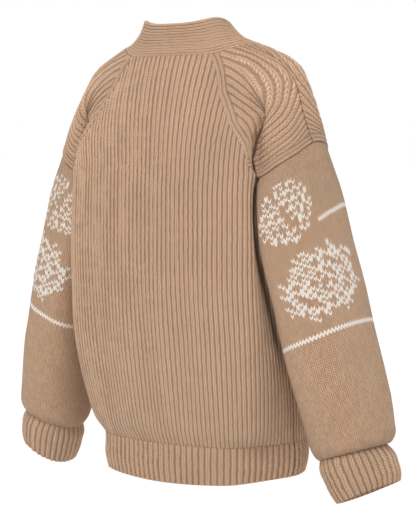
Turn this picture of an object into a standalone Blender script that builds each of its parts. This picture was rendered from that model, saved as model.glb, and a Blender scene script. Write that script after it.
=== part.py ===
# Chunky v-neck cardigan in worn shape: ribbed back and fronts, raglan shoulders in two pieces each,
# dropped plain sleeves with ribbed cuffs, a ribbed hem, one long ribbed band round the neck and
# down both fronts, five buttons. Metres, +Z up, front faces -Y, wearer's left is +X.
# The origin is where the wearer's shoulders carry it, between the two neck points.
import bpy
import bmesh
import math
import numpy as np

for old in list(bpy.data.objects):
    bpy.data.objects.remove(old, do_unlink=True)

# ---- named sizes -------------------------------------------------------------------------------
WALL = 0.0027            # plain thickness of the knitted cloth
SEAM = 0.0005            # gap between pieces that are sewn edge to edge
RIB_H = 0.0016           # how far the ribs of back, fronts and shoulders stand out
HEM_WALL = 0.0030
HEM_RIB_H = 0.0018
BAND_WALL = 0.0030
BAND_RIB_H = 0.0009
RIBS_HALF_BACK = 35      # ribs from centre back to side seam
RIBS_FRONT = 31          # ribs from front edge to side seam
RIBS_RAGLAN = 18         # ribs that start on a raglan seam
RIBS_NECK = 7            # more ribs that start on the neck edge of a shoulder piece
RIBS_HEM_HALF = 23
RIBS_HEM_FRONT = 21
RIBS_CUFF = 31
RIBS_BAND = 12
HEM_TOP = -0.545
HEM_BOTTOM = -0.594
UNDERARM = -0.165        # level where the raglan seams end
SIDE_TOP = -0.193        # top of the side seam
FRONT_EDGE = 0.0205      # band seam from the centre, below the v
V_POINT = -0.300
LAP = 0.0025             # how far the two fronts part where the bands lap
HEM_SAG = 0.0070         # how much lower the hem hangs at centre back
SKEW = 0.10              # the arm's section leans inwards at its back
BUTTON_R = 0.0110
BUTTON_T = 0.0034
BUTTON_GAP = 0.0004      # clearance of a button over the ribs of the band

# Body sections, back half. Points per level: centre, mid, corner, side_back, side (x, y pairs).
# At and above UNDERARM the corner is the raglan seam itself.
BACK_ROWS = (
    # z      centre_y  mid_x   mid_y   corner_x corner_y side_b_x side_b_y side_x  side_y
    (-0.600, 0.0700, 0.0590, 0.0635, 0.1020, 0.0480, 0.1280, 0.0120, 0.1475, -0.0320),
    (-0.575, 0.0750, 0.0610, 0.0680, 0.1060, 0.0520, 0.1330, 0.0150, 0.1530, -0.0305),
    (-0.545, 0.0770, 0.0620, 0.0700, 0.1080, 0.0530, 0.1345, 0.0160, 0.1535, -0.0300),
    (-0.530, 0.0840, 0.0650, 0.0770, 0.1170, 0.0580, 0.1415, 0.0260, 0.1555, -0.0250),
    (-0.500, 0.0910, 0.0680, 0.0840, 0.1250, 0.0650, 0.1485, 0.0350, 0.1600, -0.0180),
    (-0.454, 0.0990, 0.0720, 0.0920, 0.1340, 0.0740, 0.1560, 0.0410, 0.1635, -0.0100),
    (-0.396, 0.1070, 0.0760, 0.1000, 0.1420, 0.0800, 0.1580, 0.0430, 0.1630, -0.0040),
    (-0.330, 0.1125, 0.0790, 0.1055, 0.1440, 0.0820, 0.1550, 0.0420, 0.1570, 0.0000),
    (-0.250, 0.1140, 0.0800, 0.1070, 0.1455, 0.0815, 0.1490, 0.0420, 0.1490, 0.0000),
    (-0.190, 0.1120, 0.0800, 0.1050, 0.1470, 0.0770, 0.1475, 0.0420, 0.1455, 0.0000),
    (-0.165, 0.1080, 0.0790, 0.1010, 0.1485, 0.0730, 0.1478, 0.0440, 0.1455, 0.0000),
    (-0.131, 0.1010, 0.0740, 0.0950, 0.1355, 0.0740, 0.1480, 0.0450, 0.1460, 0.0100),
    (-0.100, 0.0920, 0.0670, 0.0860, 0.1210, 0.0650, 0.1400, 0.0440, 0.1450, 0.0150),
    (-0.071, 0.0810, 0.0580, 0.0755, 0.1040, 0.0570, 0.1250, 0.0420, 0.1380, 0.0200),
    (-0.043, 0.0690, 0.0470, 0.0645, 0.0840, 0.0500, 0.1050, 0.0380, 0.1200, 0.0200),
    (-0.0145, 0.0555, 0.0370, 0.0525, 0.0670, 0.0430, 0.0850, 0.0330, 0.1000, 0.0180),
    (0.010, 0.0440, 0.0300, 0.0420, 0.0550, 0.0360, 0.0700, 0.0280, 0.0850, 0.0160),
)
FRONT_ROWS = (
    # z      centre_y  mid_x   mid_y   corner_x corner_y side_f_x side_f_y
    (-0.600, -0.1310, 0.0690, -0.1240, 0.1190, -0.1020, 0.1430, -0.0670),
    (-0.575, -0.1350, 0.0710, -0.1285, 0.1235, -0.1055, 0.1485, -0.0690),
    (-0.545, -0.1360, 0.0710, -0.1290, 0.1245, -0.1060, 0.1490, -0.0690),
    (-0.530, -0.1360, 0.0715, -0.1285, 0.1255, -0.1050, 0.1520, -0.0670),
    (-0.500, -0.1340, 0.0720, -0.1270, 0.1260, -0.1010, 0.1540, -0.0620),
    (-0.454, -0.1310, 0.0740, -0.1240, 0.1300, -0.0980, 0.1570, -0.0550),
    (-0.396, -0.1280, 0.0760, -0.1210, 0.1350, -0.0950, 0.1570, -0.0500),
    (-0.330, -0.1270, 0.0780, -0.1190, 0.1380, -0.0900, 0.1530, -0.0450),
    (-0.250, -0.1280, 0.0790, -0.1180, 0.1410, -0.0850, 0.1480, -0.0420),
    (-0.190, -0.1240, 0.0790, -0.1120, 0.1450, -0.0770, 0.1468, -0.0420),
    (-0.165, -0.1200, 0.0780, -0.1080, 0.1485, -0.0710, 0.1478, -0.0400),
    (-0.136, -0.1120, 0.0730, -0.1010, 0.1400, -0.0710, 0.1490, -0.0380),
    (-0.107, -0.1040, 0.0680, -0.0940, 0.1290, -0.0670, 0.1450, -0.0360),
    (-0.078, -0.0960, 0.0620, -0.0870, 0.1170, -0.0600, 0.1360, -0.0340),
    (-0.050, -0.0880, 0.0560, -0.0790, 0.1040, -0.0520, 0.1220, -0.0320),
    (-0.022, -0.0800, 0.0500, -0.0710, 0.0960, -0.0420, 0.1100, -0.0280),
    (0.010, -0.0700, 0.0440, -0.0610, 0.0850, -0.0340, 0.0980, -0.0220),
)
V_EDGE = (
    # z      x of the band seam on the front
    (-0.610, 0.0205), (-0.300, 0.0205), (-0.285, 0.0222), (-0.250, 0.0310), (-0.190, 0.0480),
    (-0.130, 0.0655), (-0.090, 0.0770), (-0.050, 0.0885), (-0.022, 0.0960),
)

# Shoulder pieces: t runs from the neck (0) to the dropped sleeve seam (1); the columns run
# from the back raglan seam over the seam on top of the arm to the front raglan seam.
YOKE_S = (0.0, 0.30, 0.55, 0.80, 1.0, 1.25, 1.50, 1.75, 2.0)
YOKE_T = (0.0, 0.2, 0.4, 0.6, 0.8, 1.0)
YOKE = (
    # raglan_back, fold_back, arm_back, outer_back, over_arm, outer_front, arm_front, fold_front,
    # raglan_front  (x, y, z each), one line of nine points per t
    ((.0670, .0430, -.0145), (.0820, .0350, -.0100), (.0920, .0260, -.0060),
     (.0990, .0160, -.0020), (.1020, .0060, .0005), (.1045, -.0080, .0010),
     (.1035, -.0210, -.0035), (.1000, -.0320, -.0115), (.0960, -.0420, -.0220)),
    ((.0840, .0500, -.0430), (.1020, .0430, -.0340), (.1160, .0320, -.0265),
     (.1270, .0190, -.0200), (.1350, .0060, -.0165), (.1400, -.0120, -.0135),
     (.1320, -.0270, -.0210), (.1190, -.0400, -.0340), (.1040, -.0520, -.0500)),
    ((.1040, .0570, -.0710), (.1240, .0490, -.0650), (.1400, .0410, -.0550),
     (.1530, .0240, -.0445), (.1610, .0060, -.0340), (.1680, -.0170, -.0315),
     (.1560, -.0360, -.0460), (.1370, -.0500, -.0640), (.1170, -.0600, -.0780)),
    ((.1210, .0650, -.1000), (.1435, .0430, -.0965), (.1600, .0430, -.0860),
     (.1700, .0280, -.0740), (.1770, .0050, -.0605), (.1835, -.0200, -.0650),
     (.1650, -.0420, -.0840), (.1450, -.0550, -.0980), (.1290, -.0670, -.1070)),
    ((.1355, .0740, -.1310), (.1435, .0500, -.1310), (.1640, .0520, -.1220),
     (.1840, .0340, -.1090), (.1905, .0100, -.0970), (.1975, -.0200, -.1030),
     (.1780, -.0460, -.1180), (.1530, -.0560, -.1310), (.1400, -.0710, -.1360)),
    ((.1485, .0730, -.1650), (.1525, .0580, -.1790), (.1800, .0540, -.1620),
     (.1970, .0370, -.1475), (.2070, .0150, -.1335), (.2085, -.0170, -.1350),
     (.1880, -.0500, -.1560), (.1535, -.0570, -.1790), (.1485, -.0710, -.1650)),
)

# Sleeve rings: inner and outer end of each ring (x, z), its back and front (y), squareness of
# the side that lies against the body.
SLEEVE_RINGS = (
    # in_x    in_z     out_x   out_z    back_y  front_y  inner_power
    (0.1550, -0.2350, 0.2215, -0.1900, 0.0650, -0.0600, 3.8),
    (0.1605, -0.2960, 0.2415, -0.2620, 0.0690, -0.0640, 3.5),
    (0.1680, -0.3500, 0.2575, -0.3160, 0.0700, -0.0680, 3.0),
    (0.1790, -0.4150, 0.2720, -0.3760, 0.0670, -0.0710, 2.6),
    (0.1910, -0.4740, 0.2890, -0.4380, 0.0600, -0.0730, 2.3),
    (0.2010, -0.5200, 0.3010, -0.4900, 0.0500, -0.0740, 2.2),
    (0.2060, -0.5450, 0.3055, -0.5150, 0.0450, -0.0700, 2.1),
    (0.2130, -0.5590, 0.3020, -0.5300, 0.0380, -0.0620, 2.0),
)
UNDERARM_ARC = (
    # the sleeve's own top edge under the arm, from back fold to front fold
    (0.1525, 0.0580, -0.1790), (0.1503, 0.0350, -0.1895), (0.1500, 0.0000, -0.1935),
    (0.1503, -0.0350, -0.1895), (0.1535, -0.0570, -0.1790),
)
CUFF_RINGS = (
    # in_x    in_z     out_x   out_z    back_y  front_y
    (0.2133, -0.5599, 0.3013, -0.5310, 0.0372, -0.0612),
    (0.2245, -0.5825, 0.3060, -0.5505, 0.0315, -0.0625),
    (0.2350, -0.6060, 0.3105, -0.5720, 0.0240, -0.0625),
    (0.2410, -0.6150, 0.3095, -0.5805, 0.0195, -0.0605),
)
BAND_NECK = (
    # base x, y, z      free edge x, y, z       bulge  (left half, front raglan to centre back)
    (.0960, -.0420, -.0220, .0540, -.0430, .0030, 0.0030),
    (.1035, -.0210, -.0035, .0585, -.0230, .0190, 0.0040),
    (.1045, -.0080, .0010, .0610, -.0100, .0285, 0.0045),
    (.1020, .0060, .0005, .0630, .0040, .0335, 0.0045),
    (.0960, .0200, -.0040, .0620, .0165, .0365, 0.0045),
    (.0820, .0350, -.0100, .0550, .0290, .0355, 0.0040),
    (.0670, .0430, -.0145, .0450, .0360, .0325, 0.0035),
    (.0350, .0525, -.0160, .0235, .0440, .0290, 0.0030),
    (.0000, .0555, -.0165, .0000, .0460, .0285, 0.0030),
)
BAND_V = (
    # base z    free edge x, z (the base x and every y come from the front's own surface)
    (-0.594, -0.0205, -0.594), (-0.560, -0.0205, -0.560), (-0.500, -0.0205, -0.500),
    (-0.440, -0.0205, -0.440), (-0.380, -0.0205, -0.380), (-0.330, -0.0205, -0.330),
    (-0.300, -0.0200, -0.298), (-0.270, -0.0135, -0.261), (-0.235, -0.0030, -0.223),
    (-0.190, 0.0100, -0.177), (-0.140, 0.0245, -0.125), (-0.100, 0.0355, -0.082),
    (-0.060, 0.0465, -0.038),
)
BUTTON_Z = (-0.318, -0.382, -0.446, -0.510, -0.572)


# ---- curves and surfaces -----------------------------------------------------------------------
def hermite(ts, ps, t):
    """Smooth curve through the points ps at the values ts, read at the values t."""
    ts = np.asarray(ts, float)
    ps = np.asarray(ps, float)
    t = np.clip(np.atleast_1d(np.asarray(t, float)), ts[0], ts[-1])
    h = np.diff(ts)
    d = (ps[1:] - ps[:-1]) / h.reshape((-1,) + (1,) * (ps.ndim - 1))
    m = np.empty_like(ps)
    m[0], m[-1] = d[0], d[-1]
    for i in range(1, len(ts) - 1):
        m[i] = (d[i - 1] * h[i] + d[i] * h[i - 1]) / (h[i - 1] + h[i])
    k = np.clip(np.searchsorted(ts, t, side="right") - 1, 0, len(h) - 1)
    u = (t - ts[k]) / h[k]
    sh = (-1,) + (1,) * (ps.ndim - 1)
    u, hk = u.reshape(sh), h[k].reshape(sh)
    return ((2 * u ** 3 - 3 * u ** 2 + 1) * ps[k] + (u ** 3 - 2 * u ** 2 + u) * hk * m[k]
            + (3 * u ** 2 - 2 * u ** 3) * ps[k + 1] + (u ** 3 - u ** 2) * hk * m[k + 1])


BACK = np.array(BACK_ROWS)
FRONT = np.array(FRONT_ROWS)
RING_CACHE = {}


def ring(z):
    """Dense half section of the body at height z: arc length, x, y from centre back to front."""
    key = round(float(z), 6)
    if key not in RING_CACHE:
        b = hermite(BACK[:, 0], BACK[:, 1:], key)[0]
        f = hermite(FRONT[:, 0], FRONT[:, 1:], key)[0]
        pts = [(-b[1], b[2]), (0, b[0]), (b[1], b[2]), (b[3], b[4]), (b[5], b[6]), (b[7], b[8]),
               (f[5], f[6]), (f[3], f[4]), (f[1], f[2]), (0, f[0]), (-f[1], f[2])]
        knots = np.arange(-1, 10)
        g = np.linspace(0, 8, 257)
        xy = hermite(knots, np.array(pts), g)
        arc = np.concatenate([[0], np.cumsum(np.hypot(*np.diff(xy, axis=0).T))])
        RING_CACHE[key] = (arc, xy, g)
    return RING_CACHE[key]


def body_at_arc(z, arc, from_front=False):
    a, xy, _ = ring(z)
    s = a[-1] - arc if from_front else arc
    return np.array([np.interp(s, a, xy[:, 0]), np.interp(s, a, xy[:, 1]), z])


def arc_of(z, knot, from_front=False):
    """Arc length from the centre to a named knot: corner 2, side 4, front corner 6."""
    a, _, g = ring(z)
    s = np.interp(knot, g, a)
    return a[-1] - s if from_front else s


def body_y(x, z):
    """Front surface of the body at x (used by the band)."""
    a, xy, g = ring(z)
    sel = g >= 4.0
    return float(np.interp(abs(x), xy[sel, 0][::-1], xy[sel, 1][::-1]))


def lap(x, z, side):
    """Move the two fronts apart where their bands lap; side is +1 left, -1 right."""
    gx = np.clip((0.075 - abs(x)) / 0.045, 0, 1)
    gz = np.clip((-0.170 - z) / 0.055, 0, 1)
    g = (gx * gx * (3 - 2 * gx)) * (gz * gz * (3 - 2 * gz))
    return LAP * g * (1 if side > 0 else -1)


YK = np.array(YOKE)


def yoke(t, s):
    row = hermite(YOKE_S, YK.transpose(1, 0, 2), s)[0]
    return hermite(YOKE_T, row, t)[0]


def side_of_ring(s_in, s_out, back_y, front_y, power, ang):
    """One sleeve ring: ang 0 is over the arm, 90 the back, 180 against the body."""
    (xi, zi), (xo, zo) = s_in, s_out
    cx, cz = (xi + xo) / 2, (zi + zo) / 2
    cy = (back_y + front_y) / 2
    hy = (back_y - front_y) / 2
    c, s = math.cos(ang), math.sin(ang)
    n = 2.35 if c > 0 else power
    p = math.copysign(abs(c) ** (2 / n), c)
    q = math.copysign(abs(s) ** (2 / n), s)
    return np.array([cx + p * (xo - xi) / 2 - SKEW * q * hy, cy + q * hy,
                     cz + p * (zo - zi) / 2])


# sleeve position w in 0..1 round the ring: 0 over the arm, then back, underarm, front
W_KNOTS = (0.0, 0.07, 0.16, 0.30, 0.40, 0.50, 0.60, 0.70, 0.84, 0.93, 1.0)
W_ANGLE = (8, 38, 72, 118, 148, 180, 212, 242, 288, 335, 368)
W_YOKE = (1.0, 0.80, 0.55, 0.30)
W_YOKE_F = (1.75, 1.50, 1.25, 1.0)
ARC_W = (0.30, 0.40, 0.50, 0.60, 0.70)


def sleeve_top(w):
    w = w % 1.0
    if w <= 0.30:
        return yoke(1.0, float(np.interp(w, (0.0, 0.07, 0.16, 0.30), W_YOKE)))
    if w >= 0.70:
        return yoke(1.0, float(np.interp(w, (0.70, 0.84, 0.93, 1.0), W_YOKE_F)))
    return hermite(ARC_W, np.array(UNDERARM_ARC), w)[0]


def sleeve(v, w):
    """v 0 at the dropped seam, 1 at the cuff seam."""
    ang = math.radians(float(hermite(W_KNOTS, np.array(W_ANGLE, float)[:, None], w % 1.0)[0, 0]))
    pts = [sleeve_top(w)]
    for r in SLEEVE_RINGS:
        pts.append(side_of_ring((r[0], r[1]), (r[2], r[3]), r[4], r[5], r[6], ang))
    return hermite(SLEEVE_V, np.array(pts), v)[0]


SLEEVE_V = (0.0, 0.13, 0.29, 0.42, 0.58, 0.74, 0.86, 0.94, 1.0)
CUFF_V = (0.0, 0.42, 0.85, 1.0)


def cuff(v, w):
    ang = 2 * math.pi * w
    pts = [side_of_ring((r[0], r[1]), (r[2], r[3]), r[4], r[5], 2.2, ang) for r in CUFF_RINGS]
    return hermite(CUFF_V, np.array(pts), v)[0]


# stations of the band's left half: q 0 at the hem, 1 at centre back
def band_stations():
    rows = []
    for zb, xe, ze in BAND_V:
        xb = float(np.interp(zb, [r[0] for r in V_EDGE], [r[1] for r in V_EDGE]))
        rows.append((xb, body_y(xb, zb), zb, xe, body_y(xe, ze), ze, 0.0006))
    rows += [tuple(r) for r in BAND_NECK]
    rows = np.array(rows)
    step = np.linalg.norm(np.diff((rows[:, :3] + rows[:, 3:6]) / 2, axis=0), axis=1)
    q = np.concatenate([[0], np.cumsum(step)])
    mirror = rows[-2].copy()
    mirror[0], mirror[3] = -mirror[0], -mirror[3]
    return np.append(q / q[-1], 1 + (q[-1] - q[-2]) / q[-1]), np.vstack([rows, mirror])


BAND_Q, BAND_ROWS = band_stations()


def band(q, p, side):
    """q 0..1 hem to centre back, p 0 at the seam, 1 at the free edge."""
    r = hermite(BAND_Q, BAND_ROWS, q)[0]
    base, edge = r[:3].copy(), r[3:6].copy()
    pt = base + (edge - base) * p
    ahead = hermite(BAND_Q, BAND_ROWS, min(q + 0.004, 1.0))[0]
    behind = hermite(BAND_Q, BAND_ROWS, max(q - 0.004, 0.0))[0]
    along = (ahead[:3] + ahead[3:6] - behind[:3] - behind[3:6])
    out = np.cross(edge - base, along)
    out /= max(np.linalg.norm(out), 1e-9)
    pt = pt + out * r[6] * 4 * p * (1 - p)
    if pt[2] < -0.1:
        flat = body_y(pt[0], pt[2])
        k = min(1.0, (-0.1 - pt[2]) / 0.06)
        pt[1] += (flat - pt[1]) * k
    pt[1] += lap(pt[0], pt[2], side)
    if side < 0:
        pt[0] = -pt[0]
    return pt


# ---- walls -------------------------------------------------------------------------------------
COLLECTION = bpy.data.collections.new("v_neck_cardigan")
bpy.context.scene.collection.children.link(COLLECTION)
CUTTERS = bpy.data.collections.new("cutters")
bpy.context.scene.collection.children.link(CUTTERS)


def material(name, colour, rough):
    mat = bpy.data.materials.new(name)
    mat.use_nodes = True
    bsdf = mat.node_tree.nodes["Principled BSDF"]
    bsdf.inputs["Base Color"].default_value = (*colour, 1)
    bsdf.inputs["Roughness"].default_value = rough
    return mat


def normals(fn, us, vs, inside):
    """Unit normals on fn(u, v) that point away from the point inside."""
    eu, ev = 1e-3, 1e-3
    out = np.empty((len(us), len(vs), 3))
    for i, u in enumerate(us):
        for j, v in enumerate(vs):
            du = fn(min(u + eu, us[-1]), v) - fn(max(u - eu, us[0]), v)
            dv = fn(u, min(v + ev, vs[-1])) - fn(u, max(v - ev, vs[0]))
            n = np.cross(du, dv)
            out[i, j] = n / max(np.linalg.norm(n), 1e-12)
    i, j = len(us) // 2, len(vs) // 2
    away = fn(us[i], vs[j]) - np.array(inside)
    return out if np.dot(out[i, j], away) > 0 else -out


def stitch(a, ta, b, tb):
    """Triangles between two lines of vertex numbers with their positions along the line."""
    faces, i, j = [], 0, 0
    while i < len(a) - 1 or j < len(b) - 1:
        go_a = j == len(b) - 1 or (i < len(a) - 1 and ta[i + 1] <= tb[j + 1] + 1e-9)
        if go_a:
            faces.append((a[i], a[i + 1], b[j]))
            i += 1
        else:
            faces.append((a[i], b[j + 1], b[j]))
            j += 1
    return faces


def add_object(name, verts, faces, mat):
    seen, remap, kept = {}, [], []
    for p in verts:
        key = tuple(np.round(np.asarray(p) * 1e6).astype(int))
        if key not in seen:
            seen[key] = len(kept)
            kept.append(tuple(float(c) for c in p))
        remap.append(seen[key])
    clean = []
    for f in faces:
        g = [remap[i] for i in f]
        g = [v for k, v in enumerate(g) if v != g[k - 1]]
        if len(set(g)) >= 3:
            clean.append(g)
    mesh = bpy.data.meshes.new(name)
    mesh.from_pydata(kept, [], clean)
    bm = bmesh.new()
    bm.from_mesh(mesh)
    bmesh.ops.triangulate(bm, faces=bm.faces[:])
    bmesh.ops.recalc_face_normals(bm, faces=bm.faces[:])
    bm.to_mesh(mesh)
    bm.free()
    mesh.materials.append(mat)
    obj = bpy.data.objects.new(name, mesh)
    COLLECTION.objects.link(obj)
    mesh.shade_smooth()
    mesh.set_sharp_from_angle(angle=math.radians(50))
    return obj


def wall(name, fn, us, vs, raise_fn, inner_us, inner_vs, thick, mat, inside, closed_u=False,
         mitre=None):
    """A closed wall: ribbed outer skin on fn(u, v), plain inner skin, rims stitched between.
    mitre(u, v) may give the direction of the wall's edge face where two pieces meet."""
    n_out = normals(fn, us, vs, inside)
    outer = np.array([[fn(u, v) for v in vs] for u in us])
    rise = np.array([[raise_fn(i, j, u, v) for j, v in enumerate(vs)] for i, u in enumerate(us)])
    outer = outer + n_out * rise[..., None]
    n_in = normals(fn, inner_us, inner_vs, inside)
    if mitre:
        for i, u in enumerate(inner_us):
            for j, v in enumerate(inner_vs):
                shared = mitre(u, v)
                if shared is not None:
                    n_in[i, j] = shared
    inner = np.array([[fn(u, v) for v in inner_vs] for u in inner_us]) - n_in * thick
    nu, nv, mu, mv = len(us), len(vs), len(inner_us), len(inner_vs)
    verts = [p for row in outer for p in row] + [p for row in inner for p in row]
    o = lambda i, j: (i % nu if closed_u else i) * nv + j
    n = lambda i, j: nu * nv + (i % mu if closed_u else i) * mv + j
    faces = []
    for i in range(nu if closed_u else nu - 1):
        for j in range(nv - 1):
            faces.append((o(i, j), o(i + 1, j), o(i + 1, j + 1), o(i, j + 1)))
    for i in range(mu if closed_u else mu - 1):
        for j in range(mv - 1):
            faces.append((n(i, j), n(i, j + 1), n(i + 1, j + 1), n(i + 1, j)))
    ua, ub = list(us), list(inner_us)
    ia, ib = list(range(nu)), list(range(mu))
    if closed_u:
        ua, ub, ia, ib = ua + [ua[0] + 1.0], ub + [ub[0] + 1.0], ia + [0], ib + [0]
    for jo, ji in ((0, 0), (nv - 1, mv - 1)):
        faces += stitch([o(i, jo) for i in ia], ua, [n(i, ji) for i in ib], ub)
    if not closed_u:
        for io, ii in ((0, 0), (nu - 1, mu - 1)):
            faces += stitch([o(io, j) for j in range(nv)], vs, [n(ii, j) for j in range(mv)],
                            inner_vs)
    return add_object(name, verts, faces, mat)


def half_steps(count, lo=0.0, hi=1.0):
    return [lo + (hi - lo) * k / (2 * count) for k in range(2 * count + 1)]


def spread(lo, hi, count):
    return [lo + (hi - lo) * k / count for k in range(count + 1)]


CAMEL = material("camel_knit", (0.52, 0.35, 0.22), 0.95)
HORN = material("horn_button", (0.16, 0.09, 0.05), 0.35)

# ---- back panel --------------------------------------------------------------------------------


def raglan_line(s, from_front):
    """Height and arc along the body where a shoulder piece's raglan edge runs."""
    line = []
    for t in np.linspace(0, 1, 61):
        x, y, z = yoke(t, s)
        a, xy, g = ring(z)
        k = int(np.argmin((xy[:, 0] - x) ** 2 + 4 * (xy[:, 1] - y) ** 2))
        line.append((z, a[-1] - a[k] if from_front else a[k]))
    line = np.array(line)
    smooth = np.polynomial.Polynomial.fit(line[:, 0], line[:, 1], 7)
    return line[:, 0], smooth(line[:, 0])


BACK_RAGLAN_Z, BACK_RAGLAN_ARC = raglan_line(0.0, False)
SIDE_ARC = arc_of(UNDERARM, 4)
LOW_EDGE = HEM_TOP + SEAM


def seam_direction(s_edge, from_front):
    """Per height, the mean outward direction of body and shoulder piece along a raglan seam."""
    zs, dirs = [], []
    ds = 0.02 if s_edge == 0 else -0.02
    for t in np.linspace(0.0, 1.0, 31):
        p = yoke(t, s_edge)
        t0, t1 = max(t - 0.01, 0), min(t + 0.01, 1)
        n1 = np.cross(yoke(t, s_edge + ds) - p, yoke(t1, s_edge) - yoke(t0, s_edge))
        n1 /= np.linalg.norm(n1)
        n1 = n1 if np.dot(n1, p - np.array([0.09, 0, -0.10])) > 0 else -n1
        z = p[2]
        a, xy, g = ring(z)
        k = int(np.argmin((xy[:, 0] - p[0]) ** 2 + (xy[:, 1] - p[1]) ** 2))
        s0 = a[-1] - a[k] if from_front else a[k]
        c0 = body_at_arc(z, s0, from_front)
        across = c0 - body_at_arc(z, s0 - 0.004, from_front)
        up = body_at_arc(z + 0.004, s0, from_front) - body_at_arc(z - 0.004, s0, from_front)
        n2 = np.cross(across, up)
        n2 /= np.linalg.norm(n2)
        n2 = n2 if np.dot(n2, p - np.array([0, 0, z - 0.02])) > 0 else -n2
        m = n1 + n2
        dirs.append(m / np.linalg.norm(m) * min(1.35, 2 / np.linalg.norm(m)))
        zs.append(z)
    return np.array(zs[::-1]), np.array(dirs[::-1])


def read_direction(table, z, side=1):
    d = np.array([np.interp(z, table[0], table[1][:, k]) for k in range(3)])
    d[0] *= side
    return d


BACK_SEAM_DIR = seam_direction(0.0, False)
FRONT_SEAM_DIR = seam_direction(2.0, True)


def side_edge(y, back_y, front_y):
    """Height of the body's top edge under the arm at depth y."""
    k = np.clip(abs(y) / (back_y if y > 0 else -front_y), 0, 1)
    return SIDE_TOP + (UNDERARM - 0.001 - SIDE_TOP) * k ** 5


def back_top(f):
    arc = abs(f) * SIDE_ARC
    if arc <= BACK_RAGLAN_ARC[0]:
        k = arc / BACK_RAGLAN_ARC[0]
        return -0.0165 + 0.0020 * k ** 3 - 0.0007
    if arc <= BACK_RAGLAN_ARC[-1]:
        return float(np.interp(arc, BACK_RAGLAN_ARC, BACK_RAGLAN_Z)) - 0.0007
    y = body_at_arc(UNDERARM, arc)[1]
    return side_edge(y, 0.073, -0.071) - 0.0012


def back_panel(f, v):
    z = LOW_EDGE + (back_top(f) - LOW_EDGE) * v
    length = arc_of(z, 4) if z < UNDERARM else SIDE_ARC
    p = body_at_arc(z, min(abs(f), 0.9985) * length)
    return np.array([math.copysign(p[0], f), p[1], p[2]])


def back_mitre(f, v):
    arc = abs(f) * SIDE_ARC
    if v < 1 or not BACK_RAGLAN_ARC[0] < arc <= BACK_RAGLAN_ARC[-1] + 0.004:
        return None
    return read_direction(BACK_SEAM_DIR, back_top(f), math.copysign(1, f))


def front_mitre(f, v, side):
    arc = front_arc(f)
    if v < 1 or not TIP_ARC < arc <= FRONT_RAGLAN_ARC[-1] + 0.004:
        return None
    return read_direction(FRONT_SEAM_DIR, front_top(f), side)


def with_breaks(plain, breaks):
    """A plain list of positions with some moved on to the corners of the outline."""
    out = list(plain)
    for b in breaks:
        k = min(range(1, len(out) - 1), key=lambda i: abs(out[i] - b))
        out[k] = b
    return out


F_NECK = BACK_RAGLAN_ARC[0] / SIDE_ARC
F_ARM = BACK_RAGLAN_ARC[-1] / SIDE_ARC
half_f = with_breaks(spread(0, 1, 15), (F_NECK, F_ARM - 0.055, F_ARM, F_ARM + 0.05))
inner_f = [-f for f in half_f[:0:-1]] + half_f
fs = half_steps(2 * RIBS_HALF_BACK, -1, 1)
vs = [0.0, 0.05, 0.14, 0.30, 0.46, 0.62, 0.76, 0.88, 1.0]
wall("back_panel", back_panel, fs, vs,
     lambda i, j, u, v: RIB_H * (i % 2), inner_f, [0, 0.1, 0.3, 0.55, 0.8, 1.0],
     WALL, CAMEL, (0, 0, -0.3), mitre=back_mitre)

# ---- fronts ------------------------------------------------------------------------------------
FRONT_RAGLAN_Z, FRONT_RAGLAN_ARC = raglan_line(2.0, True)
V_Z = np.linspace(V_POINT, -0.022, 60)


def arc_at_x(z, x):
    a, xy, g = ring(z)
    sel = g >= 4.0
    return a[-1] - float(np.interp(x, xy[sel, 0][::-1], a[sel][::-1]))


V_ARC = np.array([arc_at_x(z, float(np.interp(z, [r[0] for r in V_EDGE], [r[1] for r in V_EDGE])))
                  for z in V_Z])
SIDE_ARC_F = arc_of(UNDERARM, 4, True)
TIP_ARC = (V_ARC[-1] + FRONT_RAGLAN_ARC[0]) / 2


def front_arc(f):
    return FRONT_EDGE + SEAM + f * (SIDE_ARC_F - FRONT_EDGE - SEAM)


def front_top(f):
    arc = front_arc(f)
    if arc <= TIP_ARC:
        return float(np.interp(arc - 0.0007, V_ARC, V_Z)) - 0.0012
    if arc <= FRONT_RAGLAN_ARC[-1]:
        return float(np.interp(arc, FRONT_RAGLAN_ARC, FRONT_RAGLAN_Z)) - 0.0012
    y = body_at_arc(UNDERARM, arc, True)[1]
    return side_edge(y, 0.073, -0.071) - 0.0012


def front_panel(f, v, side):
    z = LOW_EDGE + (front_top(f) - LOW_EDGE) * v
    total = arc_of(z, 4, True) if z < UNDERARM else SIDE_ARC_F
    arc = FRONT_EDGE + SEAM + min(f, 0.9985) * (total - FRONT_EDGE - SEAM)
    p = body_at_arc(z, arc, True)
    p[1] += lap(p[0], z, side)
    if side < 0:
        p[0] = -p[0]
    return p


FF_TIP = (TIP_ARC - FRONT_EDGE - SEAM) / (SIDE_ARC_F - FRONT_EDGE - SEAM)
FF_ARM = (FRONT_RAGLAN_ARC[-1] - FRONT_EDGE - SEAM) / (SIDE_ARC_F - FRONT_EDGE - SEAM)
inner_ff = (spread(0, FF_TIP, 5) + spread(FF_TIP, FF_ARM, 7)[1:]
            + [FF_ARM + 0.05] + spread(FF_ARM + 0.05, 1, 3)[1:])
fv = [0.0, 0.05, 0.14, 0.30, 0.48, 0.66, 0.84, 1.0]
for side, name in ((1, "left_front"), (-1, "right_front")):
    wall(name, lambda f, v, s=side: front_panel(f, v, s), half_steps(RIBS_FRONT), fv,
         lambda i, j, u, v: RIB_H * (i % 2), inner_ff, [0, 0.1, 0.3, 0.6, 0.84, 1.0],
         WALL, CAMEL, (0, 0, -0.3), mitre=lambda f, v, s=side: front_mitre(f, v, s))

# ---- hem ribs ----------------------------------------------------------------------------------


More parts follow.
